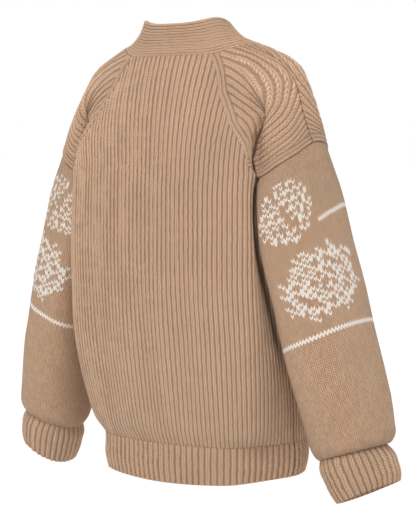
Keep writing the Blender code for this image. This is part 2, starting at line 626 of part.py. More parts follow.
def hem_point(z, arc_fraction, front, side):
    if front:
        total = arc_of(z, 4, True)
        p = body_at_arc(z, FRONT_EDGE + SEAM + arc_fraction * (total - FRONT_EDGE - SEAM), True)
        p[1] += lap(p[0], z, side)
    else:
        p = body_at_arc(z, abs(arc_fraction) * arc_of(z, 4))
    x = math.copysign(p[0], arc_fraction) if not front else p[0] * side
    if not front:
        z -= HEM_SAG * (1 - arc_fraction ** 2) ** 2 * (HEM_TOP - z) / (HEM_TOP - HEM_BOTTOM)
    return np.array([x, p[1], z])


hv = [0.0, 0.88, 1.0]
hz = lambda v: HEM_TOP - SEAM * 0.2 + (HEM_BOTTOM - HEM_TOP) * v
hem_rise = lambda i, j, u, v: HEM_RIB_H * (i % 2) + (0.0006 if j < 2 else -0.0004)
wall("hem_rib_back", lambda f, v: hem_point(hz(v), f * 0.9975, False, 1),
     half_steps(2 * RIBS_HEM_HALF, -1, 1), hv, hem_rise, spread(-1, 1, 22), [0, 1.0], HEM_WALL,
     CAMEL, (0, 0, -0.57))
for side, name in ((1, "hem_rib_left_front"), (-1, "hem_rib_right_front")):
    wall(name, lambda f, v, s=side: hem_point(hz(v), f * 0.9975, True, s),
         half_steps(RIBS_HEM_FRONT), hv, hem_rise, spread(0, 1, 10), [0, 1.0], HEM_WALL, CAMEL,
         (0, 0, -0.57))

# ---- shoulder pieces ---------------------------------------------------------------------------
BACK_S = [k / 14 for k in (0, 1, 3, 4, 5, 6, 8, 10, 12, 14)]
FRONT_S = [k / 14 for k in (0, 2, 4, 7, 9, 11, 13, 14)]


def yoke_point(s, r, front, side):
    """s 0..1 from raglan to the seam over the arm, r ribs above the dropped seam."""
    full = RIBS_RAGLAN + RIBS_NECK * s
    t = min(max(1 - r / full, 0.0), 1.0)
    t = 0.004 + t * 0.9925
    s = 0.004 + s * 0.9935
    p = yoke(t, 2 - s if front else s)
    return np.array([p[0] * side, p[1], p[2]])


def yoke_wall(name, front, side, s_list):
    rs = [k / 2 for k in range(2 * (RIBS_RAGLAN + RIBS_NECK) + 1)]

    def rise(i, j, s, r):
        if r >= RIBS_RAGLAN + RIBS_NECK * s - 1e-6:
            return 0.0
        seam_ridge = 0.0010 if (not front and i == 1) else 0.0
        return max(RIB_H * (j % 2), seam_ridge * 1.6) if j > 0 else 0.0

    def mitre(s, r):
        if s > 0:
            return None
        table = FRONT_SEAM_DIR if front else BACK_SEAM_DIR
        return read_direction(table, yoke_point(s, r, front, side)[2], side)

    wall(name, lambda s, r: yoke_point(s, r, front, side), s_list, rs, rise,
         s_list[::2] + ([s_list[-1]] if len(s_list) % 2 == 0 else []),
         [0, 3, 6, 9, 12, 15, 18, 21.5, 25], WALL, CAMEL,
         (side * 0.10, 0.0, -0.12), mitre=mitre)


for side, word in ((1, "left"), (-1, "right")):
    yoke_wall(word + "_shoulder_back", False, side, BACK_S)
    yoke_wall(word + "_shoulder_front", True, side, FRONT_S)

# ---- sleeves and cuffs -------------------------------------------------------------------------
SLEEVE_ROWS = [0.0022, 0.05, 0.13, 0.22, 0.32, 0.42, 0.52, 0.62, 0.72, 0.80, 0.87, 0.92, 0.965, 1.0]
for side, word in ((1, "left"), (-1, "right")):
    mir = np.array([side, 1, 1])
    wall(word + "_sleeve", lambda w, v, m=mir: sleeve(v, w) * m, spread(0, 1, 26)[:-1],
         SLEEVE_ROWS, lambda i, j, u, v: 0.0, spread(0, 1, 18)[:-1],
         [0.0022, 0.10, 0.22, 0.36, 0.52, 0.70, 0.84, 0.93, 1.0], WALL, CAMEL,
         (side * 0.20, 0.0, -0.32), closed_u=True)
    wall(word + "_cuff", lambda w, v, m=mir: cuff(v, w) * m,
         [k / (2 * RIBS_CUFF) for k in range(2 * RIBS_CUFF)], [0.0, 0.5, 0.9, 1.0],
         lambda i, j, u, v: HEM_RIB_H * (i % 2), spread(0, 1, 20)[:-1], [0.0, 0.5, 1.0], HEM_WALL,
         CAMEL, (side * 0.265, -0.015, -0.57), closed_u=True)

# ---- band --------------------------------------------------------------------------------------


TIP_Q = float(BAND_Q[len(BAND_V)])


def band_point(q, p):
    side = 1 if q <= 1 else -1
    k = q if q <= 1 else 2 - q
    start = 0.014 + 0.022 * math.exp(-((k - TIP_Q) / 0.03) ** 2)
    return band(k, start + (1 - start) * p, side)


half_q = [0.0, 0.03, 0.06, 0.14, 0.22, 0.29, 0.345, 0.375, 0.405, 0.44, 0.48, 0.52, 0.57, 0.61,
          0.65, 0.685, 0.715, 0.745, 0.775, 0.805, 0.835, 0.865, 0.90, 0.95, 1.0]
qs = half_q + [2 - q for q in half_q[-2::-1]]
wall("neck_and_front_band", band_point, qs, half_steps(RIBS_BAND),
     lambda i, j, u, v: BAND_RIB_H * (j % 2), qs, [0, 0.35, 0.7, 1.0], BAND_WALL, CAMEL,
     (0, 0, 0.005))


# ---- buttons -----------------------------------------------------------------------------------
def button_frame(z):
    """Middle of a button's back, its up direction and its outward direction, on the upper band."""
    up = np.array([0.0, body_y(0.0, z + 0.010) - body_y(0.0, z - 0.010), 0.020])
    up /= np.linalg.norm(up)
    out = np.cross(up, (-1.0, 0.0, 0.0))
    reach = max(float(np.dot((x, body_y(x, z + d) - LAP, z + d), out))
                for x in (0.0, 0.6 * BUTTON_R, BUTTON_R) for d in (-BUTTON_R, 0.0, BUTTON_R))
    reach += BAND_RIB_H + BUTTON_GAP
    y = (reach - z * out[2]) / out[1]
    return np.array([0.0, y, z]), up, out


def button(name, z):
    """Round button with a raised rim and four holes."""
    prof = [(0.0, 0.0), (0.92, 0.0), (1.0, 0.25), (1.0, 0.75), (0.88, 1.0), (0.70, 0.72),
            (0.0, 0.66)]
    seg = 16
    mid, up, out = button_frame(z)
    right = np.array([1.0, 0.0, 0.0])
    place = lambda x, h, d: tuple(mid + right * x + up * h + out * d)
    verts, faces = [], []
    rings = []
    for r, d in prof:
        if r == 0:
            rings.append([len(verts)])
            verts.append(place(0.0, 0.0, d * BUTTON_T))
            continue
        ids = []
        for k in range(seg):
            a = 2 * math.pi * k / seg
            ids.append(len(verts))
            verts.append(place(r * BUTTON_R * math.cos(a), r * BUTTON_R * math.sin(a),
                               d * BUTTON_T))
        rings.append(ids)
    for a, b in zip(rings, rings[1:]):
        for k in range(seg):
            m = (k + 1) % seg
            if len(a) == 1:
                faces.append((a[0], b[k], b[m]))
            elif len(b) == 1:
                faces.append((a[k], a[m], b[0]))
            else:
                faces.append((a[k], a[m], b[m], b[k]))
    obj = add_object(name, verts, faces, HORN)
    bm = bmesh.new()
    for dx in (-1, 1):
        for dz in (-1, 1):
            made = bmesh.ops.create_cone(bm, cap_ends=True, segments=6, radius1=0.0010,
                                         radius2=0.0010, depth=0.02)["verts"]
            for vert in made:
                x, h, d = vert.co
                vert.co = place(x + dx * 0.0026, h + dz * 0.0026, d)
    bmesh.ops.recalc_face_normals(bm, faces=bm.faces[:])
    cut_mesh = bpy.data.meshes.new(name + "_holes")
    bm.to_mesh(cut_mesh)
    bm.free()
    cutter = bpy.data.objects.new(name + "_holes", cut_mesh)
    CUTTERS.objects.link(cutter)
    cutter.hide_render = True
    mod = obj.modifiers.new("holes", "BOOLEAN")
    mod.operation = "DIFFERENCE"
    mod.solver = "EXACT"
    mod.object = cutter
    return obj


for index, height in enumerate(BUTTON_Z):
    button("button_%d" % (index + 1), height)
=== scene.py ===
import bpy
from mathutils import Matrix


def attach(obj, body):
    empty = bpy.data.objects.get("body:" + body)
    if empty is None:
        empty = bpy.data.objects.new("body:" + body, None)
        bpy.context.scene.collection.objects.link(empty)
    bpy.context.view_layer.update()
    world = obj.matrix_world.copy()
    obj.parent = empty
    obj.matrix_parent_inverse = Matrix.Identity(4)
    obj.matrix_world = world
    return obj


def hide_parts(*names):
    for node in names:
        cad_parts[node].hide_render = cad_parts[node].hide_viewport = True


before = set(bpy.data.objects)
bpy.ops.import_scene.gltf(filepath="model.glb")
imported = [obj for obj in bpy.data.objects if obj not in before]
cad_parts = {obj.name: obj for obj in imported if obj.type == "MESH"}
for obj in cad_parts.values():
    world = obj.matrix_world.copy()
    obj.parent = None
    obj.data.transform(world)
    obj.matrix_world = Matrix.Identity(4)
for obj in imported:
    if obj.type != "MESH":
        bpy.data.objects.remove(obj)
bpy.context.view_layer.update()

import math
import bpy
import bmesh
import numpy as np
from mathutils import Vector

# Chunky v-neck cardigan, worn shape. Metres, +Z up, front faces -Y, wearer's left is +X.

# ---- named sizes -------------------------------------------------------------------------------
WALL = 0.0027            # plain thickness of the knitted cloth
HEM_WALL = 0.0030        # of the hem ribs and cuffs
BAND_WALL = 0.0030
SEAM = 0.0005            # between two pieces that are sewn together
TOP_GAP = 0.0012         # between a front's top edge, or an armhole, and what is sewn to it
LINE_GAP = 0.0007        # the same for the back's top edge
RIB_H = 0.0023           # height of the ribs of back, fronts and shoulders
HEM_RIB_H = 0.0031       # of hem and cuffs
BAND_RIB_H = 0.0018
RIBS_HALF_BACK = 35      # from the middle of the back to its side
RIBS_FRONT = 31
RIBS_HEM_HALF = 23
RIBS_HEM_FRONT = 21
RIBS_CUFF = 31
RIBS_BAND = 12
PER_RIB = 6              # steps of the grid across one rib
COURSE = 0.0041          # height of one stitch in the ribbed cloth
BAND_COURSE = 0.0036
CHAIN = 0.0064           # width of each of the two chain columns beside the raglan seam
CHAIN_LOW = 0.0052       # and along the dropped seam
OVERLAP = 0.0016         # how far the chain columns lie over the edge of the back or the front
WALES = 74               # stitches round a sleeve
COURSES = 108            # stitches along a sleeve
HEM_TOP = -0.545
HEM_BOTTOM = -0.594
UNDERARM = -0.165        # where the raglan seams end
SIDE_TOP = -0.193        # top of the side seam
FRONT_EDGE = 0.0205      # from the middle to the straight seam of a front
V_POINT = -0.300
LAP = 0.0025             # how far each front moves where the right one laps over the left
HEM_SAG = 0.0070         # how much lower the hem hangs at the middle of the back
SKEW = 0.10              # how far the rings of sleeves and cuffs lean, as a share of their depth
BUTTON_R = 0.0110
BUTTON_T = 0.0034
BUTTON_GAP = 0.0004
HOLE_R = 0.0010          # of each of a button's four holes
HOLE_AT = 0.0024         # from the button's middle, each way
THREAD_R = 0.00036
PANEL_REACH = 0.9985     # share of the way to the side that the back and the fronts fill
HEM_REACH = 0.9975       # the same for the hem ribs
CURL_R = 0.0019          # how far from a free edge the cloth starts to round over
RIB_END = 0.0030         # and how far from it the ribs die away
INNER_IN = 0.00003       # how far the inner skin lies inside the CAD's

# ---- tables of points, in millimetres ----------------------------------------------------------
# Body sections, back half: z, centre y, then x and y of the points mid, corner, side_back, side.
# At and above UNDERARM the corner is the raglan seam itself.
BACK = np.array((
    ( -600,    70, 59,  63.5,   102,   48,   128, 12, 147.5,   -32),
    ( -575,    75, 61,    68,   106,   52,   133, 15,   153, -30.5),
    ( -545,    77, 62,    70,   108,   53, 134.5, 16, 153.5,   -30),
    ( -530,    84, 65,    77,   117,   58, 141.5, 26, 155.5,   -25),
    ( -500,    91, 68,    84,   125,   65, 148.5, 35,   160,   -18),
    ( -454,    99, 72,    92,   134,   74,   156, 41, 163.5,   -10),
    ( -396,   107, 76,   100,   142,   80,   158, 43,   163,    -4),
    ( -330, 112.5, 79, 105.5,   144,   82,   155, 42,   157,     0),
    ( -250,   114, 80,   107, 145.5, 81.5,   149, 42,   149,     0),
    ( -190,   112, 80,   105,   147,   77, 147.5, 42, 145.5,     0),
    ( -165,   108, 79,   101, 148.5,   73, 147.8, 44, 145.5,     0),
    ( -131,   101, 74,    95, 135.5,   74,   148, 45,   146,    10),
    ( -100,    92, 67,    86,   121,   65,   140, 44,   145,    15),
    (  -71,    81, 58,  75.5,   104,   57,   125, 42,   138,    20),
    (  -43,    69, 47,  64.5,    84,   50,   105, 38,   120,    20),
    (-14.5,  55.5, 37,  52.5,    67,   43,    85, 33,   100,    18),
    (   10,    44, 30,    42,    55,   36,    70, 28,    85,    16),
)) / 1000
# Front half: z, centre y, then x and y of the points mid, corner, side_front.
FRONT = np.array((
    (-600, -131,   69,   -124,   119,   -102,   143, -67),
    (-575, -135,   71, -128.5, 123.5, -105.5, 148.5, -69),
    (-545, -136,   71,   -129, 124.5,   -106,   149, -69),
    (-530, -136, 71.5, -128.5, 125.5,   -105,   152, -67),
    (-500, -134,   72,   -127,   126,   -101,   154, -62),
    (-454, -131,   74,   -124,   130,    -98,   157, -55),
    (-396, -128,   76,   -121,   135,    -95,   157, -50),
    (-330, -127,   78,   -119,   138,    -90,   153, -45),
    (-250, -128,   79,   -118,   141,    -85,   148, -42),
    (-190, -124,   79,   -112,   145,    -77, 146.8, -42),
    (-165, -120,   78,   -108, 148.5,    -71, 147.8, -40),
    (-136, -112,   73,   -101,   140,    -71,   149, -38),
    (-107, -104,   68,    -94,   129,    -67,   145, -36),
    ( -78,  -96,   62,    -87,   117,    -60,   136, -34),
    ( -50,  -88,   56,    -79,   104,    -52,   122, -32),
    ( -22,  -80,   50,    -71,    96,    -42,   110, -28),
    (  10,  -70,   44,    -61,    85,    -34,    98, -22),
)) / 1000
# Height, and x of the band seam on the front.
V_EDGE = np.array(((-610, 20.5), (-300, 20.5), (-285, 22.2), (-250, 31), (-190, 48), (-130, 65.5),
                   (-90, 77), (-50, 88.5), (-22, 96))) / 1000

# Shoulder pieces: t runs from the neck (0) to the dropped sleeve seam (1); the columns run
# from the back raglan seam over the seam on top of the arm to the front raglan seam.
YOKE_S = (0.0, 0.30, 0.55, 0.80, 1.0, 1.25, 1.50, 1.75, 2.0)
YOKE_T = (0.0, 0.2, 0.4, 0.6, 0.8, 1.0)
# One line of nine points (x, y, z) per t: raglan_back, fold_back, arm_back, outer_back, over_arm,
# outer_front, arm_front, fold_front, raglan_front.
YOKE = np.array((
    ((67, 43, -14.5), (82, 35, -10), (92, 26, -6), (99, 16, -2), (102, 6, 0.5), (104.5, -8, 1),
     (103.5, -21, -3.5), (100, -32, -11.5), (96, -42, -22)),
    ((84, 50, -43), (102, 43, -34), (116, 32, -26.5), (127, 19, -20), (135, 6, -16.5),
     (140, -12, -13.5), (132, -27, -21), (119, -40, -34), (104, -52, -50)),
    ((104, 57, -71), (124, 49, -65), (140, 41, -55), (153, 24, -44.5), (161, 6, -34),
     (168, -17, -31.5), (156, -36, -46), (137, -50, -64), (117, -60, -78)),
    ((121, 65, -100), (143.5, 43, -96.5), (160, 43, -86), (170, 28, -74), (177, 5, -60.5),
     (183.5, -20, -65), (165, -42, -84), (145, -55, -98), (129, -67, -107)),
    ((135.5, 74, -131), (143.5, 50, -131), (164, 52, -122), (184, 34, -109), (190.5, 10, -97),
     (197.5, -20, -103), (178, -46, -118), (153, -56, -131), (140, -71, -136)),
    ((148.5, 73, -165), (152.5, 58, -179), (180, 54, -162), (197, 37, -147.5), (207, 15, -133.5),
     (208.5, -17, -135), (188, -50, -156), (153.5, -57, -179), (148.5, -71, -165)),
)) / 1000

# Sleeve and cuff rings: x and z of the inner and of the outer end, y of the back and the front.
SLEEVE_RINGS = np.array((
    (  155, -235, 221.5, -190, 65, -60),
    (160.5, -296, 241.5, -262, 69, -64),
    (  168, -350, 257.5, -316, 70, -68),
    (  179, -415,   272, -376, 67, -71),
    (  191, -474,   289, -438, 60, -73),
    (  201, -520,   301, -490, 50, -74),
    (  206, -545, 305.5, -515, 45, -70),
    (  213, -559,   302, -530, 38, -62),
)) / 1000
# how square each sleeve ring is on the side that lies against the body
SLEEVE_SQUARE = (3.8, 3.5, 3, 2.6, 2.3, 2.2, 2.1, 2)
# The sleeve's own top edge under the arm, from back fold to front fold.
UNDERARM_ARC = np.array(((152.5, 58, -179), (150.3, 35, -189.5), (150, 0, -193.5),
                         (150.3, -35, -189.5), (153.5, -57, -179))) / 1000
CUFF_RINGS = np.array((
    (213.3, -559.9, 301.3,   -531, 37.2, -61.2),
    (224.5, -582.5,   306, -550.5, 31.5, -62.5),
    (  235,   -606, 310.5,   -572,   24, -62.5),
    (  241,   -615, 309.5, -580.5, 19.5, -60.5),
)) / 1000
# The band round the neck, from the front raglan to the centre back: x, y, z at its seam, x, y, z
# at its free edge, bulge.
BAND_NECK = np.array((
    (   96,  -42,   -22,   54,  -43,    3,   3),
    (103.5,  -21,  -3.5, 58.5,  -23,   19,   4),
    (104.5,   -8,     1,   61,  -10, 28.5, 4.5),
    (  102,    6,   0.5,   63,    4, 33.5, 4.5),
    (   96,   20,    -4,   62, 16.5, 36.5, 4.5),
    (   82,   35,   -10,   55,   29, 35.5,   4),
    (   67,   43, -14.5,   45,   36, 32.5, 3.5),
    (   35, 52.5,   -16, 23.5,   44,   29,   3),
    (    0, 55.5, -16.5,    0,   46, 28.5,   3),
)) / 1000
# The band on the fronts: z at its seam, x and z at its free edge. The rest comes from the fronts.
BAND_V = np.array((
    (-594, -20.5, -594),
    (-560, -20.5, -560),
    (-500, -20.5, -500),
    (-440, -20.5, -440),
    (-380, -20.5, -380),
    (-330, -20.5, -330),
    (-300,   -20, -298),
    (-270, -13.5, -261),
    (-235,    -3, -223),
    (-190,    10, -177),
    (-140,  24.5, -125),
    (-100,  35.5,  -82),
    ( -60,  46.5,  -38),
)) / 1000
BUTTON_Z = np.array((-318, -382, -446, -510, -572)) / 1000


# ---- curves and surfaces -----------------------------------------------------------------------
def hermite(ts, ps, t):
    """Smooth curve through the points ps at the values ts, read at the values t."""
    ts = np.asarray(ts, float)
    ps = np.asarray(ps, float)
    t = np.clip(np.atleast_1d(np.asarray(t, float)), ts[0], ts[-1])
    h = np.diff(ts)
    d = (ps[1:] - ps[:-1]) / h.reshape((-1,) + (1,) * (ps.ndim - 1))
    m = np.empty_like(ps)
    m[0], m[-1] = d[0], d[-1]
    for i in range(1, len(ts) - 1):
        m[i] = (d[i - 1] * h[i] + d[i] * h[i - 1]) / (h[i - 1] + h[i])
    k = np.clip(np.searchsorted(ts, t, side="right") - 1, 0, len(h) - 1)
    u = (t - ts[k]) / h[k]
    sh = (-1,) + (1,) * (ps.ndim - 1)
    u, hk = u.reshape(sh), h[k].reshape(sh)
    return ((2 * u ** 3 - 3 * u ** 2 + 1) * ps[k] + (u ** 3 - 2 * u ** 2 + u) * hk * m[k]
            + (3 * u ** 2 - 2 * u ** 3) * ps[k + 1] + (u ** 3 - u ** 2) * hk * m[k + 1])


def weights(ts, t):
    """How much each point of such a curve counts at the values t; the last axis is the point."""
    t = np.asarray(t, float)
    return hermite(ts, np.eye(len(ts)), t.ravel()).reshape(t.shape + (len(ts),))


def smooth(x):
    """Soft step: 0 below 0, 1 above 1."""
    x = np.clip(x, 0, 1)
    return x * x * (3 - 2 * x)


def even_steps(line, count):
    """That many points at even steps along a line, and how far along its own points are."""
    d = np.concatenate([[0], np.cumsum(np.linalg.norm(np.diff(line, axis=0), axis=1))])
    want = np.linspace(0, d[-1], count)
    return np.stack([np.interp(want, d, c) for c in line.T], -1), d


def bilinear(grid, i, j, a, b):
    """Value at (i + a, j + b) between the points of a grid."""
    return ((grid[i, j] * (1 - a) + grid[i + 1, j] * a) * (1 - b)
            + (grid[i, j + 1] * (1 - a) + grid[i + 1, j + 1] * a) * b)


STEP_Z = 0.001
BODY_Z = np.arange(-0.615, 0.0125, STEP_Z)
ARCS = 512               # steps round half of the body
STEP_X = 0.001
FRONT_X = np.linspace(0, 0.16, 161)


def body_tables():
    """The body's half section at each level at even steps of its length, its whole length, its
    length to the side, and the front's y at even steps of x."""
    b = hermite(BACK[:, 0], BACK[:, 1:], BODY_Z).T
    f = hermite(FRONT[:, 0], FRONT[:, 1:], BODY_Z).T
    o = np.zeros(len(BODY_Z))
    pts = np.array([(-b[1], b[2]), (o, b[0]), (b[1], b[2]), (b[3], b[4]), (b[5], b[6]),
                    (b[7], b[8]), (f[5], f[6]), (f[3], f[4]), (f[1], f[2]), (o, f[0]),
                    (-f[1], f[2])])
    xy = hermite(np.arange(-1, 10), pts, np.linspace(0, 8, ARCS + 1))
    half = ARCS // 2
    even, arc = zip(*(even_steps(line, ARCS + 1) for line in xy.transpose(2, 0, 1)))
    front_y = [np.interp(FRONT_X, x[half:][::-1], y[half:][::-1]) for x, y in xy.transpose(2, 1, 0)]
    arc = np.array(arc)
    return np.array(even), arc[:, -1], arc[:, half], np.array(front_y)


EVEN, TOTAL, SIDE_LEN, FRONT_Y = body_tables()


def level(z):
    """Row of the tables below height z, and how far z lies towards the next one."""
    k = np.clip((np.asarray(z, float) - BODY_Z[0]) / STEP_Z, 0, len(BODY_Z) - 1.001)
    i = k.astype(int)
    return i, k - i


def at_level(table, z):
    i, fz = level(z)
    return table[i] * (1 - fz) + table[i + 1] * fz


def side_len(z, front=False):
    """Arc from the centre back, or from the centre front, to the side."""
    back = at_level(SIDE_LEN, z)
    return at_level(TOTAL, z) - back if front else back


def body(z, arc, front=False):
    """Point of the body at height z, arc metres round from the centre back or centre front."""
    z, arc = np.broadcast_arrays(np.asarray(z, float), np.asarray(arc, float))
    i, fz = level(z)
    total = at_level(TOTAL, z)
    s = np.clip((total - arc if front else arc) / total * ARCS, 0, ARCS - 0.001)
    j = s.astype(int)
    xy = bilinear(EVEN, i, j, fz[..., None], (s - j)[..., None])
    return np.concatenate([xy, z[..., None]], -1)


def body_y(x, z):
    """The y of the front of the body at x, z."""
    x, z = np.broadcast_arrays(np.abs(x).astype(float), np.asarray(z, float))
    i, fz = level(z)
    s = np.clip(x / STEP_X, 0, len(FRONT_X) - 1.001)
    j = s.astype(int)
    return bilinear(FRONT_Y, i, j, fz, s - j)


def lap(x, z, side):
    """How far back the left front lies, and how far forward the right one, near the middle."""
    return LAP * smooth((0.075 - np.abs(x)) / 0.045) * smooth((-0.170 - z) / 0.055) * side


def yoke(t, s):
    """Point of the left shoulder: t from the neck down, s from raglan (0) to raglan (2)."""
    t, s = np.broadcast_arrays(np.asarray(t, float), np.asarray(s, float))
    return np.einsum("...i,...j,ijk->...k", weights(YOKE_T, t), weights(YOKE_S, s), YOKE)


RAGLAN_T = np.linspace(0, 1, 61)


def raglan_line(s, front):
    """Height and arc along the body where a shoulder piece's raglan edge runs."""
    out = []
    for x, y, z in yoke(RAGLAN_T, s):
        i, _ = level(z + STEP_Z / 2)
        k = int(np.argmin((EVEN[i, :, 0] - x) ** 2 + 4 * (EVEN[i, :, 1] - y) ** 2))
        a = TOTAL[i] * k / ARCS
        out.append((z, TOTAL[i] - a if front else a))
    out = np.array(out)
    fit = np.polynomial.Polynomial.fit(out[:, 0], out[:, 1], 7)
    return out[:, 0], fit(out[:, 0])


BACK_RAGLAN, FRONT_RAGLAN = raglan_line(0.0, False), raglan_line(2.0, True)
SIDE_ARC = float(side_len(UNDERARM))
SIDE_ARC_F = float(side_len(UNDERARM, True))
LOW_EDGE = HEM_TOP + SEAM


def raglan_shift(t, front):
    """How far the chain columns of a shoulder piece reach over the body's side of the line."""
    bump = smooth((t - 0.14) / 0.26) * smooth((0.86 - t) / 0.26)
    return 0.0015 + (0.0045 if front else 0.0095) * bump


def raglan_at(t, front, e):
    """Height and arc e metres to the body's side of the raglan line, at t along it."""
    line = FRONT_RAGLAN if front else BACK_RAGLAN
    (z, a), ahead, behind = (
        np.array([np.interp(np.clip(t + d, 0, 1), RAGLAN_T, row) for row in line])
        for d in (0, 0.02, -0.02))
    dz, da = (ahead - behind) / np.hypot(*(ahead - behind))
    return z - da * e, a + dz * e


def body_line(front):
    """Arc and height of the edge of the back or a front along the raglan."""
    z, a = raglan_at(RAGLAN_T, front, raglan_shift(RAGLAN_T, front) - 0.0006)
    keep = np.concatenate([[True], np.diff(np.maximum.accumulate(a)) > 1e-6])
    return a[keep], z[keep]


BACK_LINE, FRONT_LINE = body_line(False), body_line(True)


def side_edge(y):
    """Height of the armhole's lower edge, which rises from the side seam to the raglan seams."""
    k = np.clip(np.abs(y) / np.where(y > 0, 0.073, 0.071), 0, 1)
    return SIDE_TOP + (UNDERARM - 0.001 - SIDE_TOP) * k ** 5


def back_top(f):
    """Height of the back's top edge, f from the right side (-1) to the left side (1)."""
    arc = np.abs(f) * SIDE_ARC
    neck = BAND_NECK[-1, 2] + 0.0020 * (arc / BACK_RAGLAN[1][0]) ** 3 - LINE_GAP
    raglan = np.interp(arc, *BACK_LINE) - LINE_GAP
    side = side_edge(body(UNDERARM, arc)[..., 1]) - TOP_GAP
    return np.where(arc <= BACK_LINE[0][0], np.minimum(neck, BACK_LINE[1][0]),
                    np.where(arc <= BACK_LINE[0][-1], raglan, side))


def back_panel(f, v):
    """Point of the back, v from the hem rib (0) to the top edge (1)."""
    z = LOW_EDGE + (back_top(f) - LOW_EDGE) * v
    length = np.where(z < UNDERARM, side_len(z), SIDE_ARC)
    p = body(z, np.minimum(np.abs(f), PANEL_REACH) * length)
    p[..., 0] = np.copysign(p[..., 0], f)
    return p


V_Z = np.linspace(V_POINT, V_EDGE[-1, 0], 60)


def v_x(z):
    """x of the band's seam on the left front at height z."""
    return np.interp(z, V_EDGE[:, 0], V_EDGE[:, 1])


def arc_at_x(z, x):
    """Arc from the centre front to x at height z."""
    i, _ = level(z + STEP_Z / 2)
    half = ARCS // 2
    s = np.interp(x, EVEN[i, half:, 0][::-1], np.linspace(0.5, 1, half + 1)[::-1])
    return TOTAL[i] * (1 - s)


V_ARC = np.array([arc_at_x(z, v_x(z)) for z in V_Z])
TIP_ARC = (V_ARC[-1] + FRONT_RAGLAN[1][0]) / 2
FRONT_ARC = FRONT_EDGE + SEAM


def front_top(f):
    """Height of a front's top edge, f from its straight edge (0) to the side (1)."""
    arc = FRONT_ARC + f * (SIDE_ARC_F - FRONT_ARC)
    vee = np.interp(arc - LINE_GAP, V_ARC, V_Z) - TOP_GAP
    raglan = np.interp(arc, *FRONT_LINE) - TOP_GAP
    side = side_edge(body(UNDERARM, arc, True)[..., 1]) - TOP_GAP
    return np.where(arc <= TIP_ARC, vee, np.where(arc <= FRONT_LINE[0][-1], raglan, side))


def on_front(z, f, total, side):
    """Point of a front at height z; total is the arc from the middle to the side there."""
    p = body(z, FRONT_ARC + f * (total - FRONT_ARC), True)
    p[..., 1] += lap(p[..., 0], z, side)
    p[..., 0] *= side
    return p


def front_panel(f, v, side):
    """Point of a front, v from the hem rib (0) to the top edge (1)."""
    z = LOW_EDGE + (front_top(f) - LOW_EDGE) * v
    total = np.where(z < UNDERARM, side_len(z, True), SIDE_ARC_F)
    return on_front(z, np.minimum(f, PANEL_REACH), total, side)


def hem_point(v, f, side):
    """Point of a hem rib, v from its top (0) to its lower edge (1); side 0 is the back."""
    z = HEM_TOP - SEAM * 0.2 + (HEM_BOTTOM - HEM_TOP) * v
    if side:
        return on_front(z, f, side_len(z, True), side)
    p = body(z, np.abs(f) * side_len(z))
    p[..., 0] = np.copysign(p[..., 0], f)
    p[..., 2] -= HEM_SAG * (1 - f ** 2) ** 2 * (HEM_TOP - z) / (HEM_TOP - HEM_BOTTOM)
    return p


def ring_points(rings, ang, powers):
    """Points [ring, angle, xyz] of sleeve or cuff rings; angle 0 is over the arm. powers says how
    square each ring is: 2 is round."""
    c, s = np.cos(ang), np.sin(ang)
    out = np.empty((len(rings), len(ang), 3))
    for k, (xi, zi, xo, zo, by, fy) in enumerate(rings):
        n = np.where(c > 0, OUTER_POWER, powers[k])
        p = np.copysign(np.abs(c) ** (2 / n), c)
        q = np.copysign(np.abs(s) ** (2 / n), s)
        hy = (by - fy) / 2
        out[k, :, 0] = (xi + xo) / 2 + p * (xo - xi) / 2 - SKEW * q * hy
        out[k, :, 1] = (by + fy) / 2 + q * hy
        out[k, :, 2] = (zi + zo) / 2 + p * (zo - zi) / 2
    return out


# w runs once round the arm, from over it by the back: the angle there, and where the sleeve's
# lengthwise lines pass its rings
W_KNOTS = (0.0, 0.07, 0.16, 0.30, 0.40, 0.50, 0.60, 0.70, 0.84, 0.93, 1.0)
W_ANGLE = (8, 38, 72, 118, 148, 180, 212, 242, 288, 335, 368)
ARC_W = (0.30, 0.40, 0.50, 0.60, 0.70)
SLEEVE_V = (0.0, 0.13, 0.29, 0.42, 0.58, 0.74, 0.86, 0.94, 1.0)
CUFF_V = (0.0, 0.42, 0.85, 1.0)
OUTER_POWER = 2.35       # how square the rings are over the arm
CUFF_POWER = 2.2         # and how square the cuff's are under it


def sleeve_frame(w):
    """The nine points each lengthwise line of the sleeve runs through, for each w round it."""
    back = yoke(1.0, np.interp(w, (0.0, 0.07, 0.16, 0.30), (1.0, 0.80, 0.55, 0.30)))
    front = yoke(1.0, np.interp(w, (0.70, 0.84, 0.93, 1.0), (1.75, 1.50, 1.25, 1.0)))
    under = hermite(ARC_W, UNDERARM_ARC, w)
    top = np.where((w <= 0.30)[:, None], back, np.where((w >= 0.70)[:, None], front, under))
    ang = np.radians(hermite(W_KNOTS, W_ANGLE, w))
    return np.concatenate([top[None], ring_points(SLEEVE_RINGS, ang, SLEEVE_SQUARE)])


def band_stations():
    """The left half of the band as lines across it, as in BAND_NECK, and how far along each is."""
    rows = np.array([(v_x(zb), body_y(v_x(zb), zb), zb, xe, body_y(xe, ze), ze, 0.0006)
                     for zb, xe, ze in BAND_V] + list(BAND_NECK))
    step = np.linalg.norm(np.diff((rows[:, :3] + rows[:, 3:6]) / 2, axis=0), axis=1)
    q = np.concatenate([[0], np.cumsum(step)])
    mirror = rows[-2].copy()
    mirror[0], mirror[3] = -mirror[0], -mirror[3]
    return np.append(q / q[-1], 1 + (q[-1] - q[-2]) / q[-1]), np.vstack([rows, mirror])


BAND_Q, BAND_ROWS = band_stations()
TIP_Q = float(BAND_Q[len(BAND_V)])


